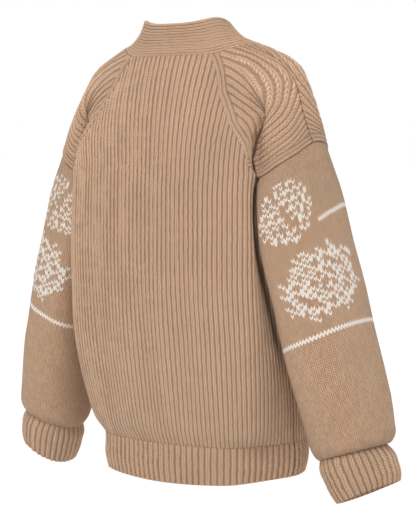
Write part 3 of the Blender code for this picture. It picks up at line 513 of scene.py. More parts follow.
def band(q, p):
    """q 0 at the left hem, 1 at centre back, 2 at the right hem; p 0 at the seam, 1 at the edge."""
    q, p = np.broadcast_arrays(np.asarray(q, float), np.asarray(p, float))
    side = np.where(q <= 1, 1.0, -1.0)
    k = np.where(q <= 1, q, 2 - q)
    start = 0.014 + 0.022 * np.exp(-((k - TIP_Q) / 0.03) ** 2)
    p = start + (1 - start) * p
    read = lambda at: np.einsum("...i,ij->...j", weights(BAND_Q, at), BAND_ROWS)
    r = read(k)
    base, edge = r[..., :3], r[..., 3:6]
    pt = base + (edge - base) * p[..., None]
    ahead, behind = read(np.minimum(k + 0.004, 1.0)), read(np.maximum(k - 0.004, 0.0))
    run = ahead[..., :3] + ahead[..., 3:6] - behind[..., :3] - behind[..., 3:6]
    out = np.cross(edge - base, run)
    out /= np.maximum(np.linalg.norm(out, axis=-1, keepdims=True), 1e-9)
    pt = pt + out * (r[..., 6] * 4 * p * (1 - p))[..., None]
    low = np.clip((-0.1 - pt[..., 2]) / 0.06, 0, 1)
    pt[..., 1] += (body_y(pt[..., 0], pt[..., 2]) - pt[..., 1]) * low
    pt[..., 1] += lap(pt[..., 0], pt[..., 2], side)
    pt[..., 0] *= side
    return pt


# ---- cloth shells ------------------------------------------------------------------------------
NOISE = 64


def even_noise(x, y, seed, period=NOISE):
    """Soft noise in -1..1 from a grid of seeded values, which comes again after period in x."""
    grid = np.random.default_rng(seed).uniform(-1, 1, (NOISE, NOISE))
    grid = np.pad(grid[:period], ((0, 1), (0, 1)), mode="wrap")
    x, y = np.broadcast_arrays(np.asarray(x, float), np.asarray(y, float))
    i, j = np.floor(x).astype(int), np.floor(y).astype(int)
    return bilinear(grid, i % period, j % NOISE, smooth(x - i), smooth(y - j))


def grid_normals(p, inside, closed=False):
    """Normals of a grid of points, away from the point inside; closed in its first direction."""
    du, dv = np.gradient(p, axis=0), np.gradient(p, axis=1)
    if closed:
        du[0] = du[-1] = p[1] - p[-2]
    n = np.cross(du, dv)
    n /= np.maximum(np.linalg.norm(n, axis=-1, keepdims=True), 1e-12)
    i, j = p.shape[0] // 2, p.shape[1] // 2
    return n if np.dot(n[i, j], p[i, j] - inside) > 0 else -n


def along(p, axis):
    """Distance of each grid point from the first and from the last line across an axis."""
    step = np.linalg.norm(np.diff(p, axis=axis), axis=-1)
    pad = np.zeros_like(np.take(step, [0], axis=axis))
    d = np.concatenate([pad, np.cumsum(step, axis=axis)], axis=axis)
    return d, np.take(d, [-1], axis=axis) - d


def edge_drop(p, sides):
    """How far the cloth curls in near its edges; sides maps u0, u1, v0, v1 to (radius, depth)."""
    out = np.zeros(p.shape[:2])
    near = dict(zip(("u0", "u1", "v0", "v1"), along(p, 0) + along(p, 1)))
    for side, (radius, depth) in sides.items():
        x = np.clip(1 - near[side] / radius, 0, 1)
        out = np.maximum(out, depth * (1 - np.sqrt(1 - x * x)))
    return out


def stitch(a, ta, b, tb):
    """Triangles between two rows of vertices a and b that stand at the places ta and tb."""
    faces, i, j = [], 0, 0
    while i < len(a) - 1 or j < len(b) - 1:
        if j == len(b) - 1 or (i < len(a) - 1 and ta[i + 1] <= tb[j + 1] + 1e-9):
            faces.append((a[i], a[i + 1], b[j]))
            i += 1
        else:
            faces.append((a[i], b[j + 1], b[j]))
            j += 1
    return faces


def picks(count, step):
    """Every step-th line of a grid and its last one."""
    return sorted({*range(0, count, step), count - 1})


def longer(p, axis, first, last):
    """Add a line beyond the first and the last line across an axis, that many metres on."""
    p = np.moveaxis(p, axis, 0)
    out = [p]
    for k, (a, b, more) in enumerate(((p[0], p[2], first), (p[-1], p[-3], last))):
        if more:
            way = (a - b) / np.linalg.norm(a - b, axis=-1, keepdims=True)
            out.insert(0 if k == 0 else len(out), (a + way * more)[None])
    return np.moveaxis(np.concatenate(out), 0, axis)


def shell(name, p, n, lift, thick, uv, mat, step_u, step_v, *, sewn, closed=False, free=(),
          cream=None, dark=0.0):
    """One piece of cloth: outer skin p + n * lift, plain inner skin with every step-th line, rims
    between. free edges are rounded over; sewn edges are drawn in and get painted shade, by {edge:
    (radius, depth, painted shade)}. cream marks cells of the second yarn, dark paints shade on
    points."""
    curl = edge_drop(p, {k: (CURL_R, thick / 2) for k in free})
    drawn = edge_drop(p, {k: s[:2] for k, s in sewn.items()})
    # painted shade: the colour is darker along sewn edges and wherever dark is given
    shade = np.maximum(edge_drop(p, {k: (s[0] * 1.1, s[2]) for k, s in sewn.items()}), dark)
    away = 1 - edge_drop(p, {k: (RIB_END, 1.0) for k in free})
    outer = p + n * (lift * away - curl - drawn)[..., None]
    iu, iv = picks(p.shape[0], step_u), picks(p.shape[1], step_v)
    pick = np.ix_(iu, iv)
    inner = p[pick] - n[pick] * (thick - curl[pick] - INNER_IN)[..., None]
    nu, nv = p.shape[:2]
    mu, mv = len(iu), len(iv)
    verts = np.concatenate([outer.reshape(-1, 3), inner.reshape(-1, 3)])
    uvs = np.concatenate([uv.reshape(-1, 2), uv[pick].reshape(-1, 2)])
    o = np.arange(nu * nv).reshape(nu, nv)
    m = nu * nv + np.arange(mu * mv).reshape(mu, mv)
    quads = np.stack([o[:-1, :-1], o[1:, :-1], o[1:, 1:], o[:-1, 1:]], -1).reshape(-1, 4)
    backs = np.stack([m[:-1, :-1], m[:-1, 1:], m[1:, 1:], m[1:, :-1]], -1).reshape(-1, 4)
    rims = []
    for k in (0, -1):
        rims += stitch(o[:, k].tolist(), range(nu), m[:, k].tolist(), iu)
    for k in () if closed else (0, -1):
        rims += stitch(o[k].tolist(), range(nv), m[k].tolist(), iv)
    mesh = bpy.data.meshes.new(name)
    mesh.from_pydata(verts.tolist(), [], quads.tolist() + backs.tolist() + rims)
    index = np.empty(len(mesh.loops), np.int32)
    mesh.loops.foreach_get("vertex_index", index)
    mesh.uv_layers.new(name="Knit").data.foreach_set("uv", uvs[index].astype(np.float32).ravel())
    painted_shade = np.concatenate([shade.reshape(-1), np.zeros(mu * mv)]).astype(np.float32)
    mesh.attributes.new(name="painted_shade", type="FLOAT", domain="POINT").data.foreach_set("value", painted_shade)
    if cream is not None:
        value = np.zeros((len(index), 4), np.float32)
        value[:len(quads) * 4] = np.repeat(cream.reshape(-1), 4)[:, None]
        value[:, 3] = 1
        layer = mesh.color_attributes.new(name="cream", type="FLOAT_COLOR", domain="CORNER")
        layer.data.foreach_set("color", value.ravel())
    bm = bmesh.new()
    bm.from_mesh(mesh)
    bmesh.ops.remove_doubles(bm, verts=bm.verts[:], dist=2e-6)
    bmesh.ops.dissolve_degenerate(bm, edges=bm.edges[:], dist=1e-7)
    bmesh.ops.recalc_face_normals(bm, faces=bm.faces[:])
    bm.to_mesh(mesh)
    bm.free()
    mesh.shade_smooth()
    mesh.materials.append(mat)
    obj = bpy.data.objects.new("knit_" + name, mesh)
    bpy.context.scene.collection.objects.link(obj)
    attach(obj, "root")
    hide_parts(name)


def edged(count, length):
    """Positions 0..1 with close rows at both ends, for a stretch of the given length."""
    near = np.array((0.0, 0.0004, 0.0010, 0.0019)) / length
    middle = np.linspace(0.0032 / length, 1 - 0.0032 / length, count)
    return np.concatenate([near, middle, 1 - near[::-1]])


def rib_wave(x, power=1.0):
    """Rounded ridges of height 1 with narrow valleys; a ridge's middle is at half a unit."""
    blunt = 0.03
    low = 0.1732         # about the root of blunt, so that the valleys stay just above zero
    return ((np.sqrt(np.sin(np.pi * x) ** 2 + blunt) - low) / (1.0149 - low)) ** power


# ---- knitted cloth -----------------------------------------------------------------------------
class Graph:
    """Short ways to add nodes to a material."""

    def __init__(self, name):
        self.mat = bpy.data.materials.new(name)
        self.mat.use_nodes = True
        self.tree = self.mat.node_tree
        self.bsdf = self.tree.nodes["Principled BSDF"]

    def new(self, kind, **props):
        node = self.tree.nodes.new(kind)
        for key, value in props.items():
            setattr(node, key, value)
        return node

    def put(self, socket, value):
        if isinstance(value, bpy.types.NodeSocket):
            self.tree.links.new(value, socket)
        else:
            socket.default_value = value

    def set(self, **values):
        """Set the shader's own sockets, with _ for each space in a name."""
        for key, value in values.items():
            self.bsdf.inputs[key.replace("_", " ")].default_value = value

    def math(self, op, *args, clamp=False):
        node = self.new("ShaderNodeMath", operation=op, use_clamp=clamp)
        for socket, value in zip(node.inputs, args):
            self.put(socket, value)
        return node.outputs[0]

    def ramp(self, value, lo, hi, to_lo=0.0, to_hi=1.0, kind="SMOOTHSTEP"):
        node = self.new("ShaderNodeMapRange", interpolation_type=kind)
        for socket, v in zip(node.inputs, (value, lo, hi, to_lo, to_hi)):
            self.put(socket, v)
        return node.outputs["Result"]

    def mix(self, factor, a, b, blend="MIX"):
        node = self.new("ShaderNodeMix", data_type="RGBA", blend_type=blend)
        self.put(node.inputs[0], factor)
        self.put(node.inputs[6], a)
        self.put(node.inputs[7], b)
        return node.outputs[2]

    def noise(self, vector, scale, detail=2.0, rough=0.5):
        node = self.new("ShaderNodeTexNoise")
        self.put(node.inputs["Vector"], vector)
        node.inputs["Scale"].default_value = scale
        node.inputs["Detail"].default_value = detail
        node.inputs["Roughness"].default_value = rough
        return node

    def bump(self, height, distance, normal=None, strength=1.0):
        node = self.new("ShaderNodeBump")
        node.inputs["Strength"].default_value = strength
        node.inputs["Distance"].default_value = distance
        self.put(node.inputs["Height"], height)
        if normal is not None:
            self.put(node.inputs["Normal"], normal)
        return node.outputs[0]


CAMEL = (0.640, 0.418, 0.277, 1)
CREAM = (1.0, 0.905, 0.825, 1)


def knit(name, ridge, depth, dark, tone, wander=1.0, motif=False, spread=0.10, wool=CAMEL):
    """Wool cloth whose stitches follow the Knit map: one unit is one stitch each way.
    ridge is the part of a unit that a ridge fills (1 is plain knitting), depth the height of a
    stitch, dark how much painted shade darkens its hollows, tone how light the cloth is, wander
    how far the stitches stray, spread how much they differ; motif adds the cream yarn."""
    g = Graph(name)
    uv = g.new("ShaderNodeUVMap", uv_map="Knit").outputs[0]
    spot = g.new("ShaderNodeSeparateXYZ")
    g.put(spot.inputs[0], uv)
    drift = g.new("ShaderNodeSeparateColor")
    g.put(drift.inputs[0], g.noise(uv, 0.45, 2.0).outputs["Color"])
    x, y = (g.math("MULTIPLY_ADD", g.math("SUBTRACT", drift.outputs[k], 0.5), stray * wander,
                   spot.outputs[k]) for k, stray in enumerate((0.34, 0.60)))
    # two legs lean out from the middle of each stitch, and the next stitch starts between them
    w = g.math("DIVIDE", g.math("ABSOLUTE", g.math("SUBTRACT", g.math("FRACT", x), 0.5)), ridge)
    wc = g.math("MINIMUM", w, 0.5)
    leg = g.math("SINE", g.math("MULTIPLY", wc, 2 * math.pi))
    leg = g.math("POWER", g.math("MAXIMUM", leg, 0.0), 0.55)
    slanted = g.math("MULTIPLY_ADD", wc, -2.0, y)
    phase = g.math("FRACT", g.math("ADD", slanted, 0.5))
    row = g.math("SINE", g.math("MULTIPLY", phase, math.pi))
    high = g.math("MULTIPLY", g.math("MULTIPLY_ADD", leg, 0.74, 0.26),
                  g.math("MULTIPLY_ADD", row, 0.80, 0.20))
    if ridge < 1:
        # low dots in the hollow between two ridges
        inside = g.ramp(w, 0.40, 0.66, 1.0, 0.0)
        dots = g.math("MULTIPLY_ADD", g.math("COSINE", g.math("MULTIPLY", y, 2 * math.pi)), 0.10,
                      0.10)
        high = g.math("ADD", g.math("MULTIPLY", high, inside),
                      g.math("MULTIPLY", dots, g.math("SUBTRACT", 1.0, inside)))
    obj = g.new("ShaderNodeTexCoord").outputs["Object"]
    fibre = g.noise(obj, 950.0, 3.0, 0.65).outputs["Fac"]
    cloud = g.noise(obj, 26.0, 2.0).outputs["Fac"]
    fleck = g.noise(obj, 260.0, 2.0).outputs["Fac"]
    # painted shade: the colour is darker in the hollows between the stitches
    light = g.ramp(high, 0.05, 0.85, 1.0 - dark, 1.0, "LINEAR")
    for grain, *levels in ((fibre, 0.25, 0.75, 0.90, 1.08), (cloud, 0.3, 0.7, 0.965, 1.03),
                           (fleck, 0.3, 0.7, 0.95, 1.04)):
        light = g.math("MULTIPLY", light, g.ramp(grain, *levels, "LINEAR"))
    # each leg of a stitch is a little lighter or darker
    cell = g.new("ShaderNodeTexWhiteNoise", noise_dimensions="2D")
    whole = g.new("ShaderNodeCombineXYZ")
    g.put(whole.inputs[0], g.math("FLOOR", g.math("MULTIPLY", x, 2.0)))
    g.put(whole.inputs[1], g.math("FLOOR", slanted))
    g.put(cell.inputs["Vector"], whole.outputs[0])
    own = g.math("MULTIPLY_ADD", cell.outputs[0], spread, tone - spread / 2)
    light = g.math("MULTIPLY", light, own)
    yarn = wool
    if motif:
        cream = g.new("ShaderNodeAttribute", attribute_name="cream").outputs["Fac"]
        # the cream yarn is thicker and fills its hollows, so it is lighter and gets less painted
        # shade
        light = g.math("MULTIPLY_ADD", g.math("MULTIPLY", g.math("SUBTRACT", 1.20, light), 0.75),
                       cream, light)
        yarn = g.mix(cream, wool, CREAM)
    # painted shade from the mesh: along seams, beside the arms and in the shoulder folds
    painted_shade = g.new("ShaderNodeAttribute", attribute_name="painted_shade").outputs["Fac"]
    light = g.math("MULTIPLY", light, g.math("MULTIPLY_ADD", painted_shade, -1.0, 1.0, clamp=True))
    shade = g.new("ShaderNodeCombineColor")
    # hollows darkened by painted shade, and darker tones, turn a little redder than the ridges
    for socket, power in zip(shade.inputs, (0.94, 1.0, 1.07)):
        g.put(socket, g.math("POWER", light, power))
    g.put(g.bsdf.inputs["Base Color"], g.mix(1.0, yarn, shade.outputs[0], "MULTIPLY"))
    g.put(g.bsdf.inputs["Normal"], g.bump(fibre, 0.00022, g.bump(high, depth), 0.8))
    g.set(Roughness=0.96, Specular_IOR_Level=0.18, Sheen_Weight=0.28, Sheen_Roughness=0.45,
          Sheen_Tint=(1.0, 0.90, 0.80, 1))
    return g.mat


RIBBED = knit("camel_rib_knit", 0.74, 0.0015, 0.68, 1.29)
# the shoulders' copy of the rib knit: painted darker overall, with less painted shade in its
# hollows, since the shoulders face the key light
YOKE_SHADED = knit("camel_shoulder_knit_shaded", 0.74, 0.0012, 0.56, 1.12)
CHUNKY = knit("camel_hem_rib_knit", 0.70, 0.0014, 0.62, 1.10)
FINE = knit("camel_band_knit", 0.80, 0.0012, 0.66, 1.39)
PLAIN = knit("camel_plain_knit", 1.0, 0.0021, 0.80, 1.27, wander=0.6, motif=True, spread=0.34,
             wool=(0.672, 0.420, 0.262, 1))


# ---- folds -------------------------------------------------------------------------------------
def crease(p, path, width):
    """How near each point is to a line of (x, y, z, depth) points, times the depth there."""
    best, out = np.full(p.shape[:2], 1e9), np.zeros(p.shape[:2])
    for (*a, da), (*b, db) in zip(path, path[1:]):
        a, ab = np.array(a), np.array(b) - np.array(a)
        k = np.clip(((p - a) @ ab) / (ab @ ab), 0, 1)
        d = np.linalg.norm(p - (a + k[..., None] * ab), axis=-1)
        near = d < best
        out[near] = ((da + (db - da) * k) * np.exp(-(d / width) ** 2))[near]
        best[near] = d[near]
    return out


def fold(width, *path, both=False):
    """A soft trough (depth > 0) or ridge (depth < 0) laid through (x, y, z, depth) points,
    all in millimetres; both lays it on the wearer's right and, mirrored, on the left."""
    path = np.array(path) / 1000
    return [(width / 1000, [(x * way, y, z, d) for x, y, z, d in path])
            for way in ((1, -1) if both else (1,))]


# the sides fall in behind the arms
SIDE_HOLLOW = fold(16, (-149.5, 60, -168, 3), (-150, 60, -200, 8.5), (-150.5, 58, -235, 9.5),
                   (-152, 51, -285, 8.5), (-154.5, 40, -335, 7), (-159, 26, -395, 5),
                   (-161, 3, -455, 3), (-158, -25, -510, 0), both=True)
BODY_FOLDS = [
    *SIDE_HOLLOW,
    # soft upright folds in the lower back
    *fold(15, (34, 110, -300, 0), (36, 101, -400, -3), (33, 88, -500, -2.2), (31, 80, -540, 0)),
    *fold(13, (4, 111, -330, 0), (2, 103, -420, 2.6), (4, 90, -495, 1.8), (5, 83, -540, 0)),
    *fold(15, (-30, 112, -250, 0), (-28, 106, -370, -2.6), (-26, 93, -470, -2), (-22, 81, -540, 0)),
    *fold(14, (-66, 107, -300, 0), (-60, 99, -400, 2.4), (-56, 88, -480, 1.6), (-52, 79, -535, 0)),
    *fold(16, (-98, 100, -230, 0), (-100, 95.5, -340, -2.6), (-94, 85, -450, -2.2),
          (-86, 74, -530, 0)),
    *fold(13, (-126, 88, -330, 0), (-124, 82, -420, 2.8), (-116, 70, -500, 1.6),
          (-112, 62, -535, 0)),
    *fold(15, (80, 104, -280, 0), (84, 96, -380, 2.6), (80, 82, -480, 1.8), (76, 74, -530, 0)),
    # the same on the fronts
    *fold(16, (70, -120, -260, 0), (74, -121, -380, -2.6), (70, -125, -490, -1.6),
          (68, -129, -535, 0)),
    *fold(15, (110, -103, -300, 0), (106, -106, -400, 2.6), (100, -113, -480, 1.8),
          (96, -118, -530, 0)),
    *fold(15, (-62, -121, -300, 0), (-68, -122, -400, 2.4), (-66, -125, -480, 1.8),
          (-62, -129, -530, 0)),
    *fold(16, (-108, -104, -240, 0), (-104, -108, -350, -2.8), (-98, -113, -460, -2),
          (-94, -118, -525, 0)),
]
ARM_FOLDS = [
    # the arms swell a little towards the body
    *fold(16.5, (-153, 58.5, -178, 0), (-154, 59, -190, -5.4), (-157.2, 60, -215, -7.6),
          (-158.5, 58.5, -250, -7.8), (-160, 57, -275, -7), (-165, 59.8, -299, -4.2),
          (-169.2, 58.2, -327, -1.8), (-174.2, 57.8, -352, 0), both=True),
    # short gathers above the cuffs
    *fold(7, (-284, 54, -470, 0), (-286, 47, -505, 2.6), (-283, 39, -532, 1.4), both=True),
    *fold(8, (-252, 64, -480, 0), (-257, 54, -515, 3), (-258, 42, -542, 1.4), both=True),
    *fold(7, (-226, 56, -500, 0), (-232, 48, -530, 2.6), (-234, 38, -552, 1.2), both=True),
    *fold(7, (-302, 10, -470, 0), (-305, 8, -505, 2.6), (-303, 6, -527, 1.2), both=True),
    *fold(8, (-292, -50, -470, 0), (-296, -50, -505, 2.8), (-290, -48, -532, 1.2), both=True),
    *fold(8, (-240, -70, -490, 0), (-248, -68, -525, 2.8), (-250, -60, -545, 1.2), both=True),
    # a long shallow hollow down the back of each arm, and one at the bend
    *fold(20, (-196, 64, -215, 0), (-205, 69, -285, 3), (-216, 69, -350, 2.2),
          (-226, 66, -410, 0), both=True),
    *fold(13, (-245, 50, -330, 0), (-225, 67, -372, 3), (-200, 62, -400, 2.2),
          (-186, 40, -415, 0), both=True),
    *fold(14, (-262, 30, -400, 0), (-245, 58, -440, -2.4), (-222, 60, -465, 0), both=True),
]


def prepared(p, inside, closed=False, folds=BODY_FOLDS):
    """The grid with its folds, and its normals."""
    n = grid_normals(p, inside, closed)
    move = sum(crease(p, path, width) for width, path in folds)
    q = p - n * move[..., None]
    return q, grid_normals(q, inside, closed)


# ---- back and fronts ---------------------------------------------------------------------------
# edge: how far the seam draws the cloth in, its depth, and the painted shade along it there
SIDE_SEAM = (0.0024, 0.0012, 0.35)
PANEL_SEAMS = {"v0": (0.0040, 0.0018, 0.10), "v1": SIDE_SEAM, "u0": SIDE_SEAM, "u1": SIDE_SEAM}
HEM_SEAMS = {"v0": (0.0020, 0.0010, 0.10), "u0": SIDE_SEAM, "u1": SIDE_SEAM}
SHOULDER_SEAMS = {"v0": (0.0022, 0.0008, 0.20), "u1": (0.0024, 0.0018, 0.40),
                  "v1": (0.0010, 0.0003, 0.05)}
SLEEVE_SEAMS = {"v0": (0.0020, 0.0004, 0.10), "v1": (0.0120, 0.0046, 0.14)}
CUFF_SEAMS = {"v0": (0.0030, 0.0012, 0.25)}
BAND_SEAMS = {"v0": (0.0028, 0.0014, 0.38)}


def rib_height(x, y, seed, size):
    """Ribs whose width and height vary a little from one to the next and along them."""
    x = (x + 0.10 * even_noise(x * 0.9, y * 0.06, seed)
         + 0.05 * even_noise(x * 0.5, y * 0.35, seed + 1))
    return size * rib_wave(x) * (1 + 0.16 * even_noise(np.floor(x), y * 0.05, seed + 2))


def panel_fade(z, x, seed):
    """The ribs are flatter towards the hem and in soft upright bands."""
    low = smooth((-0.26 - z) / 0.20)
    bands = 0.5 + 0.5 * even_noise(x * 0.14, z * 2.2, seed)
    return (1 - low * (0.12 + 0.42 * bands)) * (1 - 0.45 * smooth((-0.510 - z) / 0.03))


def arm_shade(p, width):
    """Painted shade on the cloth of the side, where the arm lies against it."""
    return np.maximum(*(crease(p, [(x, y, z, 0.88 if k < 6 else 0.0)
                                   for k, (x, y, z, d) in enumerate(path)], width)
                        for _, path in SIDE_HOLLOW))


def cloth(name, p, inside, ribs_x, course_y, size, mat, thick, step_u, step_v, seed, fade=1.0,
          **edges):
    """Ribbed cloth of the body; size is the height of its ribs."""
    p, n = prepared(p, inside)
    lift = rib_height(ribs_x, course_y, seed, size) * fade
    if size == HEM_RIB_H:
        # the hem's ribs rise softly from their seam
        lift = lift * (0.35 + 0.65 * smooth(along(p, 1)[0] / 0.009))
    lift = lift * (1 - edge_drop(p, {"v1": (0.0045, 0.75)}))
    shell(name, p, n, lift, thick, np.stack([ribs_x, course_y], -1), mat, step_u, step_v, **edges)


def rib_lean(f, z):
    """How many ribs the ribs of the back have moved outwards at this height."""
    return smooth((z + 0.215) / 0.21) * np.clip(3.0 + 6.3 * f, 0, 6.6)


def back(name):
    f = np.linspace(-1, 1, 2 * RIBS_HALF_BACK * PER_RIB + 1)[:, None]
    v = edged(166, 0.53)[None, :]
    # the grid leans with the ribs, except at the edges
    f = f + rib_lean(f, back_panel(f, v)[..., 2]) / RIBS_HALF_BACK * (1 - f ** 4)
    p = longer(back_panel(f, v), 1, 0.0016, 0.0030)
    z = p[..., 2]
    f = np.concatenate([f[:, :1], f, f[:, -1:]], axis=1)
    ribs = (f + 1) * RIBS_HALF_BACK - rib_lean(f, z)
    # painted shade on the sides beside the arms
    cloth(name, p, (0, 0, -0.3), ribs, (z - LOW_EDGE) / COURSE, RIB_H, RIBBED, WALL, 12, 5, 11,
          panel_fade(z, ribs, 12), sewn=PANEL_SEAMS, dark=arm_shade(p, 0.0062))


def front(name, side):
    f = np.linspace(0, 1, RIBS_FRONT * PER_RIB + 1)[:, None]
    p = longer(front_panel(f, edged(176, 0.50)[None, :], side), 1, 0.0016, 0.0014)
    z = p[..., 2]
    cloth(name, p, (0, 0, -0.3), f * RIBS_FRONT + 0 * z, (z - LOW_EDGE) / COURSE, RIB_H, RIBBED,
          WALL, 12, 6, 21 + side, panel_fade(z, f * RIBS_FRONT, 23), sewn=PANEL_SEAMS)


def hem(name, start, ribs, seed, side=0):
    """The hem rib of the back, or with side that of a front, from the share start to the side."""
    v = edged(15, 0.049)[None, :]
    f = np.linspace(start, HEM_REACH, ribs * PER_RIB + 1)[:, None]
    p = hem_point(v, f, side)
    x = (f - start) / (HEM_REACH - start) * ribs + 0 * v
    cloth(name, p, (0, 0, -0.57), x, (p[..., 2] - HEM_TOP) / COURSE, HEM_RIB_H, CHUNKY, HEM_WALL,
          12, 4, seed, free=("v1",), sewn=HEM_SEAMS)


SIDES = (("left", 1), ("right", -1))
back("back_panel")
for word, side in SIDES:
    front(word + "_front", side)
hem("hem_rib_back", -HEM_REACH, 2 * RIBS_HEM_HALF, 31)
for word, side in SIDES:
    hem("hem_rib_%s_front" % word, 0, RIBS_HEM_FRONT, 33 + side, side)

# ---- shoulder pieces ---------------------------------------------------------------------------
# Valleys between the ribs of a shoulder piece: number, then (s, t) points from the raglan side.
# FAN runs from the raglan into the armhole fold, ARM from the seam over the arm into that fold.
FAN = (
    (0, (.80, .08), (.86, .145), (.925, .22), (.965, .31), (.96, .40), (.945, .46)),
    (1, (.475, .0), (.625, .065), (.72, .15), (.765, .20), (.825, .24), (.85, .31), (.85, .395),
     (.84, .48), (.805, .555)),
    (2, (.22, .03), (.355, .08), (.48, .135), (.61, .195), (.67, .24), (.725, .285), (.735, .32),
     (.745, .39), (.74, .465), (.72, .53)),
    (3, (.075, .06), (.255, .115), (.33, .17), (.405, .205), (.52, .275), (.595, .32), (.615, .37),
     (.63, .44), (.61, .505), (.54, .56)),
    (4, (.10, .135), (.195, .18), (.29, .23), (.375, .275), (.44, .315), (.475, .355), (.52, .425),
     (.49, .49), (.44, .55)),
    (5, (.11, .22), (.185, .27), (.295, .315), (.355, .365), (.425, .425), (.425, .50),
     (.355, .56)),
    (6, (.125, .325), (.205, .395), (.28, .435), (.305, .465), (.315, .515), (.295, .58)),
    (7, (.08, .405), (.135, .455), (.185, .495), (.225, .535), (.245, .61)),
    (8, (.04, .495), (.08, .54), (.125, .59), (.16, .64), (.235, .695)),
    (9, (.02, .585), (.045, .62), (.11, .67), (.20, .725), (.265, .76)),
    (10, (.0, .68), (.035, .705), (.12, .76), (.19, .81)),
    (11, (.0, .79), (.045, .835), (.11, .885)),
    (12, (.0, .89), (.05, .93), (.10, .965)),
)
ARM = FAN[:4] + (
    (2, (.69, .56), (.615, .605), (.565, .655), (.54, .70), (.50, .73)),
    (1, (.775, .57), (.72, .635), (.655, .67), (.595, .715), (.50, .765)),
    (0, (.93, .525), (.905, .585), (.845, .64), (.77, .675), (.715, .71), (.63, .745), (.575, .78),
     (.45, .81)),
    (-1, (.97, .655), (.93, .675), (.845, .70), (.76, .74), (.675, .77), (.58, .81), (.525, .83)),
    (-2, (.935, .73), (.845, .76), (.755, .78), (.69, .805), (.595, .84), (.46, .86)),
    (-3, (.955, .775), (.855, .805), (.765, .825), (.66, .85), (.545, .865), (.41, .88)),
    (-4, (.96, .83), (.86, .85), (.745, .865), (.64, .885), (.51, .895), (.365, .905)),
    (-5, (.955, .875), (.85, .895), (.74, .90), (.635, .91), (.51, .92), (.355, .925)),
    (-6, (.96, .92), (.86, .925), (.755, .93), (.65, .935), (.52, .94), (.365, .95)),
    (-7, (.96, .985), (.84, .985), (.705, .99), (.57, .985), (.455, .97), (.345, .965)),
)
# where the armhole fold parts the two sets of ribs
FOLD_T = (0.0, 0.58, 0.68, 0.76, 0.85, 0.93, 1.0)
FOLD_S = (0.42, 0.40, 0.33, 0.30, 0.27, 0.21, 0.15)
# the same line as a fold in the cloth: t, s, depth
FOLD_LINE = ((0.50, 0.41, 0.0), (0.60, 0.385, 0.0020), (0.70, 0.32, 0.0055), (0.80, 0.285, 0.0080),
             (0.90, 0.235, 0.0085), (1.0, 0.15, 0.0070))
POWERS = [(i, j) for i in range(5) for j in range(5) if i + j <= 4]
FIELD = 33               # points each way of the grid of stitches


def rib_field(lines):
    """A smooth rib count r(s, t) through the valleys in lines."""
    rows, want = [], []
    for number, *pts in lines:
        for s, t in pts:
            rows.append([s ** i * t ** j for i, j in POWERS])
            want.append(number)
    rows, want = np.array(rows), np.array(want, float)
    # a little weight on the higher powers keeps the field smooth
    small = np.diag([0.01 * (i + j) ** 2 for i, j in POWERS])
    c = np.linalg.solve(rows.T @ rows + small, rows.T @ want)
    return lambda s, t: sum(ck * s ** i * t ** j for ck, (i, j) in zip(c, POWERS))


def stitch_field(ribs):
    """Stitches counted along the ribs: the count whose slope follows them best, on a grid."""
    k = np.linspace(0, 1, FIELD)
    s, t = np.meshgrid(k, k, indexing="ij")
    p = yoke(t, s)
    e = 1e-3
    rs, rt = ribs(s + e, t) - ribs(s - e, t), ribs(s, t + e) - ribs(s, t - e)
    ps, pt = np.gradient(p, k, axis=0), np.gradient(p, k, axis=1)
    way = rt[..., None] * ps - rs[..., None] * pt
    way /= np.linalg.norm(way, axis=-1, keepdims=True)
    num = np.arange(FIELD ** 2).reshape(FIELD, FIELD)
    mat, rhs = np.zeros((FIELD ** 2, FIELD ** 2)), np.zeros(FIELD ** 2)
    mat[0, 0] = 1.0
    for a, b in (((slice(None, -1), slice(None)), (slice(1, None), slice(None))),
                 ((slice(None), slice(None, -1)), (slice(None), slice(1, None)))):
        i, j = num[a].ravel(), num[b].ravel()
        mid = way[a] + way[b]
        step = p[b] - p[a]
        rise = (np.sum(mid * step, -1) / np.linalg.norm(mid, axis=-1) / COURSE).ravel()
        wt = 1 / np.maximum(np.sum(step * step, -1).ravel(), 1e-8) * 1e-5
        for m, n, way_on in ((i, j, -1), (j, i, 1)):
            np.add.at(mat, (m, m), wt)
            np.add.at(mat, (m, n), -wt)
            np.add.at(rhs, m, way_on * wt * rise)
    value = np.linalg.solve(mat, rhs).reshape(FIELD, FIELD)

    def read(s, t):
        a, b = (np.clip(c * (FIELD - 1), 0, FIELD - 1.001) for c in (s, t))
        i, j = a.astype(int), b.astype(int)
        return bilinear(value, i, j, a - i, b - j)
    return read


FAN_RIBS, ARM_RIBS = rib_field(FAN), rib_field(ARM)
FAN_ROWS, ARM_ROWS = stitch_field(FAN_RIBS), stitch_field(ARM_RIBS)
SIDE_STEPS, LONG_STEPS = 118, 190


def chained(lift, uv, away, width, high, first, rows, soft):
    """Put two chain columns along an edge that is away metres off, in place of the ribs there."""
    x = away / width
    lift = np.where(x < 2, high * rib_wave(x, 0.55), lift * smooth((x - 2) / soft))
    return lift, np.where((x < 2)[..., None], np.stack([first + x, rows], -1), uv)


